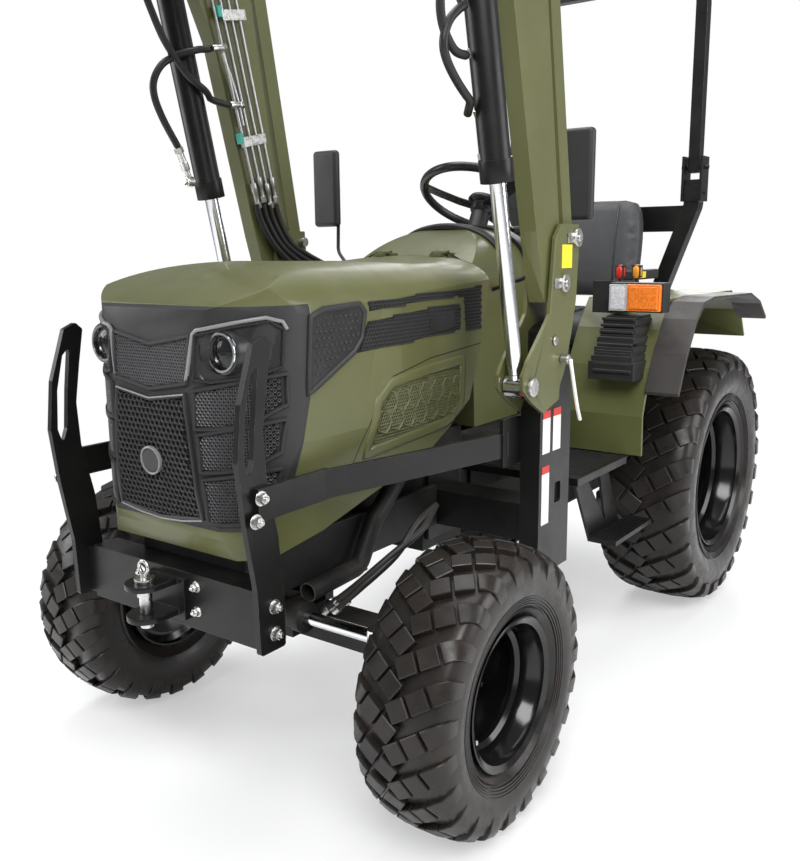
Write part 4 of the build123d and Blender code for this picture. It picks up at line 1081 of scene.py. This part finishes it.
def make_steering_wheel():
    """Round rim, three spokes and a domed boss."""
    hub = joint_place("steering_wheel_turn")
    tilt = Matrix.Rotation(radians(-28), 3, "X")
    up = tilt @ Vector((0, 0, 1))
    form = Form()
    section = []
    for k in range(16):
        a = 2 * pi * k / 16
        section.append((12.5 * cos(a), 12.5 * sin(a)))
    rings = []
    for k in range(72):
        a = 2 * pi * k / 72
        centre = hub + tilt @ Vector((178 * cos(a), 178 * sin(a), 0))
        out = (centre - hub).normalized()
        rings.append([centre + out * a + up * b for a, b in section])
    rings.append(rings[0])
    form.faces_of(rings, close_ends=False)
    for k in range(3):
        a = pi / 2 + 2 * pi * k / 3
        way = Vector((cos(a), sin(a), 0))
        line = [hub + tilt @ (way * r + Vector((0, 0, h))) for r,
                h in ((20, -24), (70, -20), (130, -10), (172, -1))]
        across = tilt @ Vector((-way.y, way.x, 0))
        form.sweep(line, [(18, -3), (20, 0), (18, 3), (-18, 3), (-20, 0), (-18, -3)], up=across)
    form.lathe([(0, -44), (27, -44), (32, -38), (34, -18), (44, -12), (46, -6), (42, 2), (26, 8),
                (0, 10)], hub,
               up, 40)
    form.piece("hand_wheel", "smooth_plastic", "steering_wheel", crease=45, replaces=("steering_wheel",))


def cushion_mesh(centre, size, turn, crown_up, crown_axis):
    """A rounded pad: a box subdivided, crowned on one face and pulled in between its corners."""
    form = Form()
    x, y, z = (v / 2 for v in size)
    bmesh.ops.create_cube(form.bm, size=1.0)
    bmesh.ops.subdivide_edges(form.bm, edges=form.bm.edges, cuts=7, use_grid_fill=True)
    power, blend = 6.0, 0.75
    for vert in form.bm.verts:
        u = vert.co * 2
        length = (abs(u.x) ** power + abs(u.y) ** power + abs(u.z) ** power) ** (1 / power)
        p = u.lerp(u / max(length, 1e-6), blend)
        edge = 1 - 0.05 * (abs(u.z) ** 2)
        q = Vector((p.x * x * edge, p.y * y * edge, p.z * z))
        if crown_axis == "z" and u.z > 0.2:
            q.z += crown_up * (1 - u.x ** 2) * (1 - u.y ** 2)
        if crown_axis == "y" and u.y < -0.2:
            q.y -= crown_up * (1 - u.x ** 2) * (1 - u.z ** 2)
        vert.co = Vector(centre) + turn @ q
    return form


CLOTH_FRAMES = 20


def puff(form, name, gap, reach):
    """Inflates a pad with a short cloth run, each point moving at most reach millimetres.

    gap is the remeshed pad's spacing in millimetres.
    """
    mesh = form.mesh(name + " shape")
    pad = bpy.data.objects.new(name + " shape", mesh)
    bpy.context.scene.collection.objects.link(pad)
    remesh = pad.modifiers.new("remesh", "REMESH")
    remesh.mode = "VOXEL"
    remesh.voxel_size = gap / 1000
    graph = bpy.context.evaluated_depsgraph_get()
    fine = bpy.data.meshes.new_from_object(pad.evaluated_get(graph))
    pad.modifiers.clear()
    pad.data = fine
    before = [v.co.copy() for v in fine.vertices]
    cloth = pad.modifiers.new("cloth", "CLOTH")
    cloth.settings.use_pressure = True
    cloth.settings.uniform_pressure_force = 4.0
    cloth.settings.effector_weights.gravity = 0.0
    cloth.settings.mass = 0.3
    cloth.settings.quality = 5
    scene = bpy.context.scene
    for number in range(1, CLOTH_FRAMES + 1):
        scene.frame_set(number)
    graph = bpy.context.evaluated_depsgraph_get()
    blown = bpy.data.meshes.new_from_object(pad.evaluated_get(graph))
    scene.frame_set(1)
    for vert, start in zip(blown.vertices, before):
        move = vert.co - start
        if move.length > reach / 1000:
            vert.co = start + move.normalized() * reach / 1000
    pad.modifiers.clear()
    mesh = blown
    bpy.data.objects.remove(pad)
    return mesh


SEAT_Y, SEAT_Z = -160.0, 905.0


def make_seat():
    """Sit cushion and backrest, each puffed a little, with piping and a blank paper tag."""
    lean = Matrix.Rotation(radians(-8), 3, "X")
    centre = Vector((0, SEAT_Y + 190, SEAT_Z + 62)) + lean @ Vector((0, 2, 185))
    seat = cushion_mesh((0, SEAT_Y, SEAT_Z - 4), (410, 380, 88), Matrix.Identity(3), 12, "z")
    seat = puff(seat, "seat pad", 6, 7)
    back = cushion_mesh(centre, (400, 70, 335), lean, 14, "y")
    back = puff(back, "back pad", 6, 7)
    for name, mesh, node in (("seat_pad", seat, "seat_cushion"), ("back_pad", back, "seat_back")):
        piece = finish_piece(name, mesh, "seat", "chassis", crease=70, replaces=(node,))
        sub = piece.modifiers.new("soft", "SUBSURF")
        sub.levels = sub.render_levels = 1
    trim = Form()
    for x in (-120, 120):
        trim.tube([(x, SEAT_Y - 165, SEAT_Z + 50), (x, SEAT_Y - 60, SEAT_Z + 57),
                   (x, SEAT_Y + 60, SEAT_Z + 57),
                   (x, SEAT_Y + 150, SEAT_Z + 52)], 2.6, 8, 4)
        line = [centre + lean @ Vector((x, -46 + d, h)) for h,
                d in ((-140, 4), (-60, -4), (60, -4), (145, 4))]
        trim.tube(line, 2.6, 8, 4)
    trim.piece("seat_piping", "smooth_plastic", "chassis")
    tag = Form()
    tag.box(120, 168, SEAT_Y - 60, SEAT_Y + 20, SEAT_Z + 52, SEAT_Z + 54)
    tag.piece("paper_tag", "white", "chassis")


def make_fender_details():
    """Ribs of the front covers, two lever knobs and the lamps at the fenders' front."""
    ribs, amber, clear = Form(), Form(), Form()
    for sign in (1, -1):
        for k in range(9):
            z = 822 + k * 17
            y = -642 + k * 7
            ribs.box(sign * 345, sign * (455 - 2 * k), y - 6, y + 30, z, z + 8)
        for x0, x1, form in ((360, 412, clear), (412, 504, amber)):
            form.box(sign * x0, sign * x1, -584, -568, 984, 1056)
            form.box(sign * (x0 + 6), sign * (x1 - 6), -588, -580, 990, 1050)
    ribs.piece("cover_ribs", "plastic", "chassis", bevel=2.0)
    amber.piece("turn_lamps", "amber", "chassis", bevel=2.5, replaces=("lamp_lenses",))
    clear.piece("side_lamps", "clear", "chassis", bevel=2.5)
    knob = [(0, 0), (11, 0), (14, 8), (14, 30), (9, 38), (0, 40)]
    for name, material, place in (("red_knob", "red_plastic", (292, -344, 1064)),
                                  ("orange_knob", "amber_plastic", (332, -314, 1064))):
        form = Form()
        form.lathe(knob, place, (0, 0, 1), 20)
        form.piece(name, material)


def fitting(form, start, way, radius, length):
    """A crimped sleeve with its hexagon nut, at a hose's end."""
    way = Vector(way).normalized()
    start = Vector(start)
    form.lathe([(0, 0), (radius, 0), (radius * 1.12, 3), (radius * 1.12, length * 0.45),
                (radius * 0.92, length * 0.5),
                (radius * 0.92, length), (0, length)], start, way, 20)
    form.disc(radius * 1.25, length * 0.32, start + way * length, way, 6, 1)


BARREL_X, BARREL_FOOT, BARREL_HEAD = 420, (-1207.0, 857.0), (-1436.0, 1890.0)
BARREL_REACH = 46.0
HOSE_RADIUS, LINE_RADIUS = 8.5, 4.2
LINES_X = -385


def beside_barrel(line, side):
    """The smooth line, each point kept BARREL_REACH or more from the middle of that side's lift barrel."""
    foot, head = Vector((side * BARREL_X, *BARREL_FOOT)), Vector((side * BARREL_X, *BARREL_HEAD))
    way = (head - foot).normalized()
    out = []
    for p in smooth_line(line, 6):
        off = (p - foot) - way * (p - foot).dot(way)
        short = BARREL_REACH - off.length
        out.append(p if short <= 0 else p + off.normalized() * short)
    return out


def make_hydraulics():
    """Ports, fittings and hoses of the lift cylinders, and the steel lines on the right arm's inner face."""
    silver, rubber_hose, loops = Form(), Form(), Form()
    near = [(402, -1347, 1419), (402, -1413, 1456), (404, -1462, 1493), (406, -1480, 1525),
            (408, -1468, 1562),
            (410, -1437, 1590), (412, -1400, 1612), (414, -1386, 1650)]
    second = [(402, -1384, 1522), (402, -1400, 1517), (402, -1436, 1520), (402, -1468, 1545),
              (402, -1484, 1580),
              (404, -1484, 1625), (408, -1470, 1690), (414, -1450, 1780)]
    far = [(-402, -1419, 1403), (-402, -1460, 1463), (-402, -1482, 1512), (-402, -1480, 1550),
           (-402, -1452, 1588),
           (-398, -1410, 1612), (-394, -1362, 1631), (-384, -1318, 1640)]
    back = [(-398, -1500, 1745), (-396, -1484, 1705), (-394, -1450, 1640), (-392, -1404, 1588),
            (-390, -1360, 1545),
            (-384, -1318, 1522), (-376, -1270, 1514)]
    for line, side in ((near, 1), (second, 1), (far, -1), (back, -1)):
        rubber_hose.tube(beside_barrel(line, side), HOSE_RADIUS, 14)
    for points in (((402, -1314, 1336), (402, -1323, 1384), (402, -1335, 1405), near[0]),
                   ((-402, -1384, 1323), (-402, -1400, 1360), (-402, -1410, 1388), far[0])):
        port, elbow, sleeve, end = (Vector(p) for p in points)
        silver.disc(13, 22, port + Vector((0, 6, 0)), (0, -1, 0), 20, 2)
        silver.disc(10, 9, port + Vector((0, -15, 0)), (0, -1, 0), 6, 1)
        silver.tube([port, elbow], 6.5, 14)
        fitting(silver, elbow - (sleeve - elbow) * 0.4, end - elbow, 9, 44)
    silver.disc(10, 16, (402, -1366, 1525), (0, -1, -0.1), 18, 1.5)
    fitting(silver, (-376, -1318, 1640), (0, 0.97, 0.2), 8, 34)
    fitting(silver, (-372, -1270, 1514), (0, 0.98, 0.1), 8, 34)
    silver.piece("hose_fittings", "zinc", "lift_barrels")
    rubber_hose.piece("cylinder_hoses", "hose", "lift_barrels")
    lines, clamps, caps = Form(), Form(), Form()
    for k in range(4):
        top, low = Vector((LINES_X, -1303 + 27 * k, 1755 + 5 * k)), Vector((LINES_X, -1181 + 24 * k,
                                                                            1309 + k))
        way = (low - top).normalized()
        lines.tube([top - way * 60, top, low], LINE_RADIUS, 12)
        fitting(lines, low - way * (36 if k % 2 else 20), way, 7.5, 50)
    tee = Vector((LINES_X, -1297, 1733))
    branch = [tee + Vector((0, y, z)) for y, z in ((22, -96), (52, -160), (70, -208), (84, -262))]
    lines.tube(branch, LINE_RADIUS, 12, 4)
    for (y0, z0), (y1, z1) in (((-1270, 1726), (-1208, 1738)), ((-1222, 1428), (-1142, 1446))):
        a, b = Vector((LINES_X, y0, z0)), Vector((LINES_X, y1, z1))
        turn = Matrix.Rotation(atan2(b.z - a.z, b.y - a.y), 3, "X")
        mid = (a + b) / 2
        for form, y0, y1 in ((clamps, -38, 44), (caps, -52, -38)):
            form.box(mid.x - 6, mid.x + 8, mid.y + y0, mid.y + y1, mid.z - 13, mid.z + 13, turn)
    lines.piece("steel_lines", "steel", "boom")
    clamps.piece("line_clamps", "zinc", "boom", bevel=1.5)
    caps.piece("clamp_caps", "teal", "boom", bevel=1.5)
    for k in range(4):
        start = Vector((LINES_X, -1172 + 24 * k, 1262))
        course = ((0, -4, 14), (0, 12, -30), (8, 46, -88), (18, 96, -136 + 6 * k), (30, 160, -172 + 8 * k))
        loops.tube([start + Vector(p) for p in course], HOSE_RADIUS, 12, 5)
    loops.piece("line_hoses", "hose", "boom")


def make_driver_details():
    """Blank round badge, dash rim, armrest with its label, and the steering hoses."""
    mask, cowl = Skin("grille_mask"), Skin("dash_cowl")
    badge, ring = Form(), Form()
    place, normal = mask.hit("front", 0, 766)
    badge.lathe([(0, 3), (24, 3), (24, 9), (22, 11), (0, 11)], place, normal, 40)
    ring.lathe([(24, 6), (24, 12), (26, 13), (28, 12), (28, 6)], place, normal, 40, closed=True)
    badge.piece("blank_badge", "smooth_plastic", "hood", crease=40)
    ring.piece("badge_ring", "lip", "hood", crease=40)
    rows = [-1000 + 6 * k for k in range(26)]
    crest = max(rows, key=lambda y: cowl.hit("top", 0, y)[0].z)
    rim = Form()
    cowl.ribbon(rim, "top", [(-232, crest + 10), (0, crest + 10), (232, crest + 10)], 46, -2, 13)
    rim.piece("dash_rim", "plastic", "chassis", crease=50)
    rest, label = Form(), Form()
    rest.box(222, 272, -190, 30, 1052, 1084)
    label.box(272, 273, -150, -90, 1058, 1078)
    rest.piece("armrest", "plastic", "chassis", bevel=8.0, segments=3)
    label.piece("armrest_label", "yellow", "chassis")
    hose, silver = Form(), Form()
    for k in range(2):
        hose.tube([(200 + 16 * k, -1606 + 14 * k, 424), (250 + 14 * k, -1580, 470),
                   (300 + 6 * k, -1520 + 10 * k, 530),
                   (322 - 10 * k, -1440, 570 + 14 * k), (300, -1350, 600)], 8.0, 12, 5)
        fitting(silver, (190 + 16 * k, -1610 + 14 * k, 412), (0.5, 0.25, 0.5), 8.5, 34)
    hose.piece("steering_hoses", "hose", "chassis")
    silver.piece("steering_fittings", "zinc", "chassis")


def make_treads():
    """Raised pebbles on the foot deck and the lower steps."""
    pebble = turned_part([(4.2, -1), (4.0, 1.0), (2.4, 2.2), (0, 2.5)])
    places = []
    for sign in (1, -1):
        for i in range(26):
            for j in range(24):
                x, y = 150 + 12.0 * i, -905 + 12.0 * (j + 0.5 * (i % 2))
                if x > 376 and y < -972:
                    continue
                if x < 436 and y < -620:
                    places.append((Vector((sign * x, y, 590)), (0, 0, 1)))
        for i in range(6):
            for j in range(20):
                places.append((Vector((sign * (402 + 11.5 * i), -728 + 12.4 * j, 380)), (0, 0, 1)))
    seat_parts("tread_pebbles", places, pebble, "black_paint", "chassis", lead=(1, 0, 0))


# Bolts of one side as (x, whether they face inwards, places in y and z)
SIDE_BOLTS = ((284, False, ((-1872, 733), (-1886, 694))), (274, False, ((-1838, 520), (-1838, 468))),
              (385, True, ((-1150, 692), (-1150, 758))))


def make_fasteners():
    """Bolts, the loader's pin heads with their keepers, grease caps and pin handles."""
    bolts, small = [], []
    for sign in (1, -1):
        for x, inwards, places in SIDE_BOLTS:
            bolts += [(Vector((sign * x, y, z)), (-sign if inwards else sign, 0, 0)) for y, z in places]
        small += [(Vector((sign * 80, -1852, z)), (0, -1, 0)) for z in (470, 520)]
        small += [(Vector((sign * 120, y, z)), (-sign, 0, 0))
                  for y, z in ((-1105, 470), (-1030, 470), (-1105, 610), (-1010, 610))]
    seat_parts("large_bolts", bolts, bolt_part(18, 11, 14), "zinc", "chassis")
    seat_parts("small_bolts", small, bolt_part(15, 9, 11), "zinc", "chassis")
    pins, grease, handle = Form(), Form(), Form()
    for sign in (1, -1):
        axis = (sign, 0, 0)
        for y, z in ((-1062, 1077), (-1002, 1177)):
            pins.disc(20, 9, (sign * 455, y, z), axis, 28, 2)
            pins.disc(9, 5, (sign * 463, y, z), axis, 16, 1.5)
            pins.box(sign * 455, sign * 459, y - 46, y - 14, z - 11, z + 11)
        pins.disc(20, 9, (sign * 455, *BARREL_FOOT), axis, 28, 2)
        pins.disc(11, 6, (sign * 455, -1100, 950), axis, 20, 1.5)
        pins.disc(11, 20, (sign * 455, -1062, 905), axis, 20, 2)
        grease.disc(6, 9, (sign * 441, -1228, 846), axis, 12, 1.5)
        handle.tube([(sign * 478, -1062, 905), (sign * 484, -1066, 880), (sign * 486, -1040, 800),
                     (sign * 486, -1020, 760)], 4.5, 10, 5)
    pins.piece("pin_heads", "zinc", "chassis", bevel=0.8)
    grease.piece("grease_caps", "red_plastic", "lift_rods")
    handle.piece("pin_handles", "white", "chassis")


def make_labels():
    """Blank label plates: no words, only the plates' own colours."""
    yellow, white, red = Form(), Form(), Form()
    for sign in (1, -1):
        yellow.box(sign * 455, sign * 456, -1072, -1022, 1110, 1162)
        for y0, y1, z0, z1 in ((-1128, -1092, 690, 790), (-1076, -1038, 690, 790), (-1128, -1092, 520, 660)):
            x0, x1 = sign * 445, sign * 446
            white.box(x0, x1, y0, y1, z0, z1 - 18)
            red.box(x0, x1, y0, y1, z1 - 18, z1)
    yellow.piece("yellow_labels", "yellow", "chassis")
    white.piece("white_labels", "white", "chassis")
    red.piece("label_heads", "label_red", "chassis")


LAMPS = (    # name, place, aim, size in metres, watts
    ("key", (2600, -4200, 4300), (0, -1000, 600), 2.6, 260),
    ("top", (-600, -900, 5200), (0, -900, 0), 4.0, 230),
    ("left", (4200, 600, 2200), (0, -700, 700), 2.6, 120),
    ("far", (-3800, -3600, 2600), (0, -1200, 700), 2.6, 110),
    ("rear", (-1500, 4200, 3000), (0, 0, 700), 3.0, 130),
)
CAMERA_PLACE = (1382, -2969, 1156)
CAMERA_TURN = (36.03, 11.25, -0.54)    # degrees of yaw, pitch and roll
FOCAL_PIXELS, PHOTO_WIDTH = 913.1, 800


def light_world():
    """Grey light for the surfaces, and white where the camera looks past them."""
    world = bpy.data.worlds.new("studio")
    bpy.context.scene.world = world
    world.use_nodes = True
    tree = world.node_tree
    back = tree.nodes["Background"]
    back.inputs["Color"].default_value = (0.62, 0.64, 0.68, 1)
    back.inputs["Strength"].default_value = 0.42
    white = tree.nodes.new("ShaderNodeBackground")
    white.inputs["Color"].default_value = (1, 1, 1, 1)
    path = tree.nodes.new("ShaderNodeLightPath")
    blend = tree.nodes.new("ShaderNodeMixShader")
    tree.links.new(path.outputs["Is Camera Ray"], blend.inputs[0])
    tree.links.new(back.outputs[0], blend.inputs[1])
    tree.links.new(white.outputs[0], blend.inputs[2])
    tree.links.new(blend.outputs[0], tree.nodes["World Output"].inputs[0])


def lay_floor():
    """A pale floor that fades to white for the camera away from the tractor."""
    shader = Shader("pale floor")
    shader.set(Base_Color=(*colours().floor, 1), Roughness=0.55)
    glow = shader.node("ShaderNodeEmission")
    seen = shader.node("ShaderNodeLightPath").outputs["Is Camera Ray"]
    split = shader.node("ShaderNodeVectorMath", operation="DISTANCE")
    shader.join(shader.place, split.inputs[0])
    split.inputs[1].default_value = at(0, -750, 0)
    far = shader.spread(split.outputs["Value"], 0.9, 2.6, 0.42, 1.0)
    paler = shader.node("ShaderNodeMixShader")
    shader.join(shader.product(seen, far), paler.inputs[0])
    shader.join(shader.surface.outputs[0], paler.inputs[1])
    shader.join(glow.outputs[0], paler.inputs[2])
    shader.join(paler.outputs[0], shader.tree.nodes["Material Output"].inputs["Surface"])
    floor = Form()
    floor.box(-9000, 9000, -12000, 9000, -20, -1)
    ground = bpy.data.objects.new("floor", floor.mesh("floor"))
    bpy.context.scene.collection.objects.link(ground)
    ground.data.materials.append(shader.material)


def hang_lamps():
    for name, place, aim, size, power in LAMPS:
        lamp = bpy.data.lights.new(name, "AREA")
        lamp.size = size
        lamp.energy = power
        holder = bpy.data.objects.new(name, lamp)
        bpy.context.scene.collection.objects.link(holder)
        holder.location = at(*place)
        holder.rotation_euler = (at(*aim) - at(*place)).to_track_quat("-Z", "Y").to_euler()


def set_camera():
    """The camera as fitted to the photograph."""
    yaw, pitch, roll = (radians(angle) for angle in CAMERA_TURN)
    ahead = Vector((-sin(yaw) * cos(pitch), cos(yaw) * cos(pitch), -sin(pitch)))
    right = Vector((cos(yaw), sin(yaw), 0))
    up = right.cross(ahead)
    right, up = right * cos(roll) + up * sin(roll), up * cos(roll) - right * sin(roll)
    camera = bpy.data.cameras.new("photo camera")
    camera.sensor_fit = "HORIZONTAL"
    camera.sensor_width = 36.0
    camera.lens = FOCAL_PIXELS / PHOTO_WIDTH * 36.0
    camera.clip_end = 100
    holder = bpy.data.objects.new("photo camera", camera)
    bpy.context.scene.collection.objects.link(holder)
    turn = Matrix((right, up, -ahead)).transposed()
    holder.matrix_world = Matrix.Translation(at(*CAMERA_PLACE)) @ turn.to_4x4()
    bpy.context.scene.camera = holder


def add_stage():
    """Pale floor and backdrop, soft lamps, world light and the camera at the photograph's place."""
    light_world()
    lay_floor()
    hang_lamps()
    set_camera()
    bpy.context.scene.view_settings.view_transform = "Standard"


# The add-on's properties, operators and panel

def length(name, description, default):
    return bpy.props.FloatProperty(name=name, description=description, default=default, unit="LENGTH",
                                   min=0.0)


def tint(name, description, default):
    return bpy.props.FloatVectorProperty(name=name, description=description, default=default,
                                         subtype="COLOR", size=3,
                                         min=0.0, max=1.0)


class TractorSizes(bpy.types.PropertyGroup):
    """Counts and lengths that can be changed before the pieces are made"""
    front_lugs: bpy.props.IntProperty(name="Front lugs", description="Lugs on each side of a front tyre",
                                      default=23)
    rear_lugs: bpy.props.IntProperty(name="Rear lugs", description="Lugs on each side of a rear tyre",
                                     default=25)
    lug_depth: length("Lug depth", "How far the tread blocks stand out of the tyre", 0.018)
    coarse_cell: length("Coarse cell", "Pitch of the main grille's openings", 0.0125)
    coarse_rib: length("Coarse rib", "Width of the main grille's ribs", 0.0024)
    fine_cell: length("Fine cell", "Pitch of the fine grilles' openings", 0.0068)
    fine_rib: length("Fine rib", "Width of the fine grilles' ribs", 0.0017)


class TractorColours(bpy.types.PropertyGroup):
    """Base colours of the main finishes"""
    olive: tint("Olive", "Hood, cowl and fender paint", (0.092, 0.098, 0.034))
    loader_olive: tint("Loader olive", "Loader paint", (0.094, 0.098, 0.036))
    black: tint("Black", "Powder-coated frame", (0.0055, 0.0054, 0.0052))
    black_gloss: tint("Gloss black", "Steel wheels", (0.004, 0.004, 0.004))
    casting: tint("Casting", "Axles, engine and gearbox", (0.011, 0.0105, 0.010))
    plastic: tint("Plastic", "Mask, covers and panel", (0.021, 0.021, 0.0215))
    flare: tint("Flares", "Fender flares", (0.034, 0.030, 0.028))
    tyre: tint("Tyres", "Tyre rubber", (0.014, 0.0125, 0.0115))
    zinc: tint("Zinc", "Pins and bolts", (0.60, 0.60, 0.58))
    seat: tint("Seat", "Seat vinyl", (0.045, 0.046, 0.048))
    amber: tint("Amber", "Turn lamps", (0.85, 0.22, 0.03))
    floor: tint("Floor", "Floor under the tractor", (0.90, 0.90, 0.90))


class TRACTOR_OT_stage(bpy.types.Operator):
    """Floor, lamps and camera"""
    bl_idname = "tractor.stage"
    bl_label = "Stage"

    def execute(self, context):
        add_stage()
        return {"FINISHED"}


class TRACTOR_OT_finishes(bpy.types.Operator):
    """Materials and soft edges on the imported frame"""
    bl_idname = "tractor.finishes"
    bl_label = "Frame finishes"

    def execute(self, context):
        dress_nodes()
        return {"FINISHED"}


class TRACTOR_OT_wheels(bpy.types.Operator):
    """Tyres with block tread and deep steel wheels"""
    bl_idname = "tractor.wheels"
    bl_label = "Wheels"

    def execute(self, context):
        make_wheels()
        return {"FINISHED"}


class TRACTOR_OT_grilles(bpy.types.Operator):
    """Perforated sheets, frames and satin lips"""
    bl_idname = "tractor.grilles"
    bl_label = "Grilles"

    def execute(self, context):
        make_grilles()
        return {"FINISHED"}


class TRACTOR_OT_hood_trim(bpy.types.Operator):
    """Corner panels, vents and gaps"""
    bl_idname = "tractor.hood_trim"
    bl_label = "Hood trim"

    def execute(self, context):
        make_hood_trim()
        return {"FINISHED"}


class TRACTOR_OT_headlamps(bpy.types.Operator):
    """Lamp bowls, rings and covers"""
    bl_idname = "tractor.headlamps"
    bl_label = "Headlamps"

    def execute(self, context):
        make_headlamps()
        return {"FINISHED"}


class TRACTOR_OT_hand_wheel(bpy.types.Operator):
    """Rim, spokes and boss"""
    bl_idname = "tractor.hand_wheel"
    bl_label = "Steering wheel"

    def execute(self, context):
        make_steering_wheel()
        return {"FINISHED"}


class TRACTOR_OT_seat(bpy.types.Operator):
    """Cushion, backrest and piping"""
    bl_idname = "tractor.seat"
    bl_label = "Seat"

    def execute(self, context):
        make_seat()
        return {"FINISHED"}


class TRACTOR_OT_fender_details(bpy.types.Operator):
    """Ribs, knobs and lamps"""
    bl_idname = "tractor.fender_details"
    bl_label = "Fender details"

    def execute(self, context):
        make_fender_details()
        return {"FINISHED"}


class TRACTOR_OT_hydraulics(bpy.types.Operator):
    """Hoses, fittings and steel lines"""
    bl_idname = "tractor.hydraulics"
    bl_label = "Hydraulics"

    def execute(self, context):
        make_hydraulics()
        return {"FINISHED"}


class TRACTOR_OT_driver_details(bpy.types.Operator):
    """Badge, dash rim, armrest and steering hoses"""
    bl_idname = "tractor.driver_details"
    bl_label = "Driver details"

    def execute(self, context):
        make_driver_details()
        return {"FINISHED"}


class TRACTOR_OT_treads(bpy.types.Operator):
    """Pebbled deck and steps"""
    bl_idname = "tractor.treads"
    bl_label = "Treads"

    def execute(self, context):
        make_treads()
        return {"FINISHED"}


class TRACTOR_OT_fasteners(bpy.types.Operator):
    """Bolts, pins and handles"""
    bl_idname = "tractor.fasteners"
    bl_label = "Fasteners"

    def execute(self, context):
        make_fasteners()
        return {"FINISHED"}


class TRACTOR_OT_labels(bpy.types.Operator):
    """Blank label plates"""
    bl_idname = "tractor.labels"
    bl_label = "Labels"

    def execute(self, context):
        make_labels()
        return {"FINISHED"}


OPERATORS = (
    TRACTOR_OT_stage, TRACTOR_OT_finishes, TRACTOR_OT_wheels, TRACTOR_OT_grilles,
    TRACTOR_OT_hood_trim, TRACTOR_OT_headlamps, TRACTOR_OT_hand_wheel, TRACTOR_OT_seat,
    TRACTOR_OT_fender_details, TRACTOR_OT_hydraulics, TRACTOR_OT_driver_details, TRACTOR_OT_treads,
    TRACTOR_OT_fasteners, TRACTOR_OT_labels,
)


class TRACTOR_PT_parts(bpy.types.Panel):
    """Lists the tractor's pieces"""
    bl_label = "Tractor"
    bl_idname = "TRACTOR_PT_parts"
    bl_space_type = "VIEW_3D"
    bl_region_type = "UI"
    bl_category = "Tractor"

    def draw(self, context):
        for operator in OPERATORS:
            self.layout.operator(operator.bl_idname)


CLASSES = [TractorSizes, TractorColours, *OPERATORS, TRACTOR_PT_parts]


def register():
    for cls in CLASSES:
        bpy.utils.register_class(cls)
    bpy.types.Scene.tractor_sizes = bpy.props.PointerProperty(type=TractorSizes)
    bpy.types.Scene.tractor_colours = bpy.props.PointerProperty(type=TractorColours)


def unregister():
    del bpy.types.Scene.tractor_colours
    del bpy.types.Scene.tractor_sizes
    for cls in reversed(CLASSES):
        bpy.utils.unregister_class(cls)


def main():
    register()
    make_materials()
    bpy.ops.tractor.stage()
    bpy.ops.tractor.finishes()
    bpy.ops.tractor.wheels()
    bpy.ops.tractor.grilles()
    bpy.ops.tractor.hood_trim()
    bpy.ops.tractor.headlamps()
    bpy.ops.tractor.hand_wheel()
    bpy.ops.tractor.seat()
    bpy.ops.tractor.fender_details()
    bpy.ops.tractor.hydraulics()
    bpy.ops.tractor.driver_details()
    bpy.ops.tractor.treads()
    bpy.ops.tractor.fasteners()
    bpy.ops.tractor.labels()


if __name__ == "__main__":
    main()
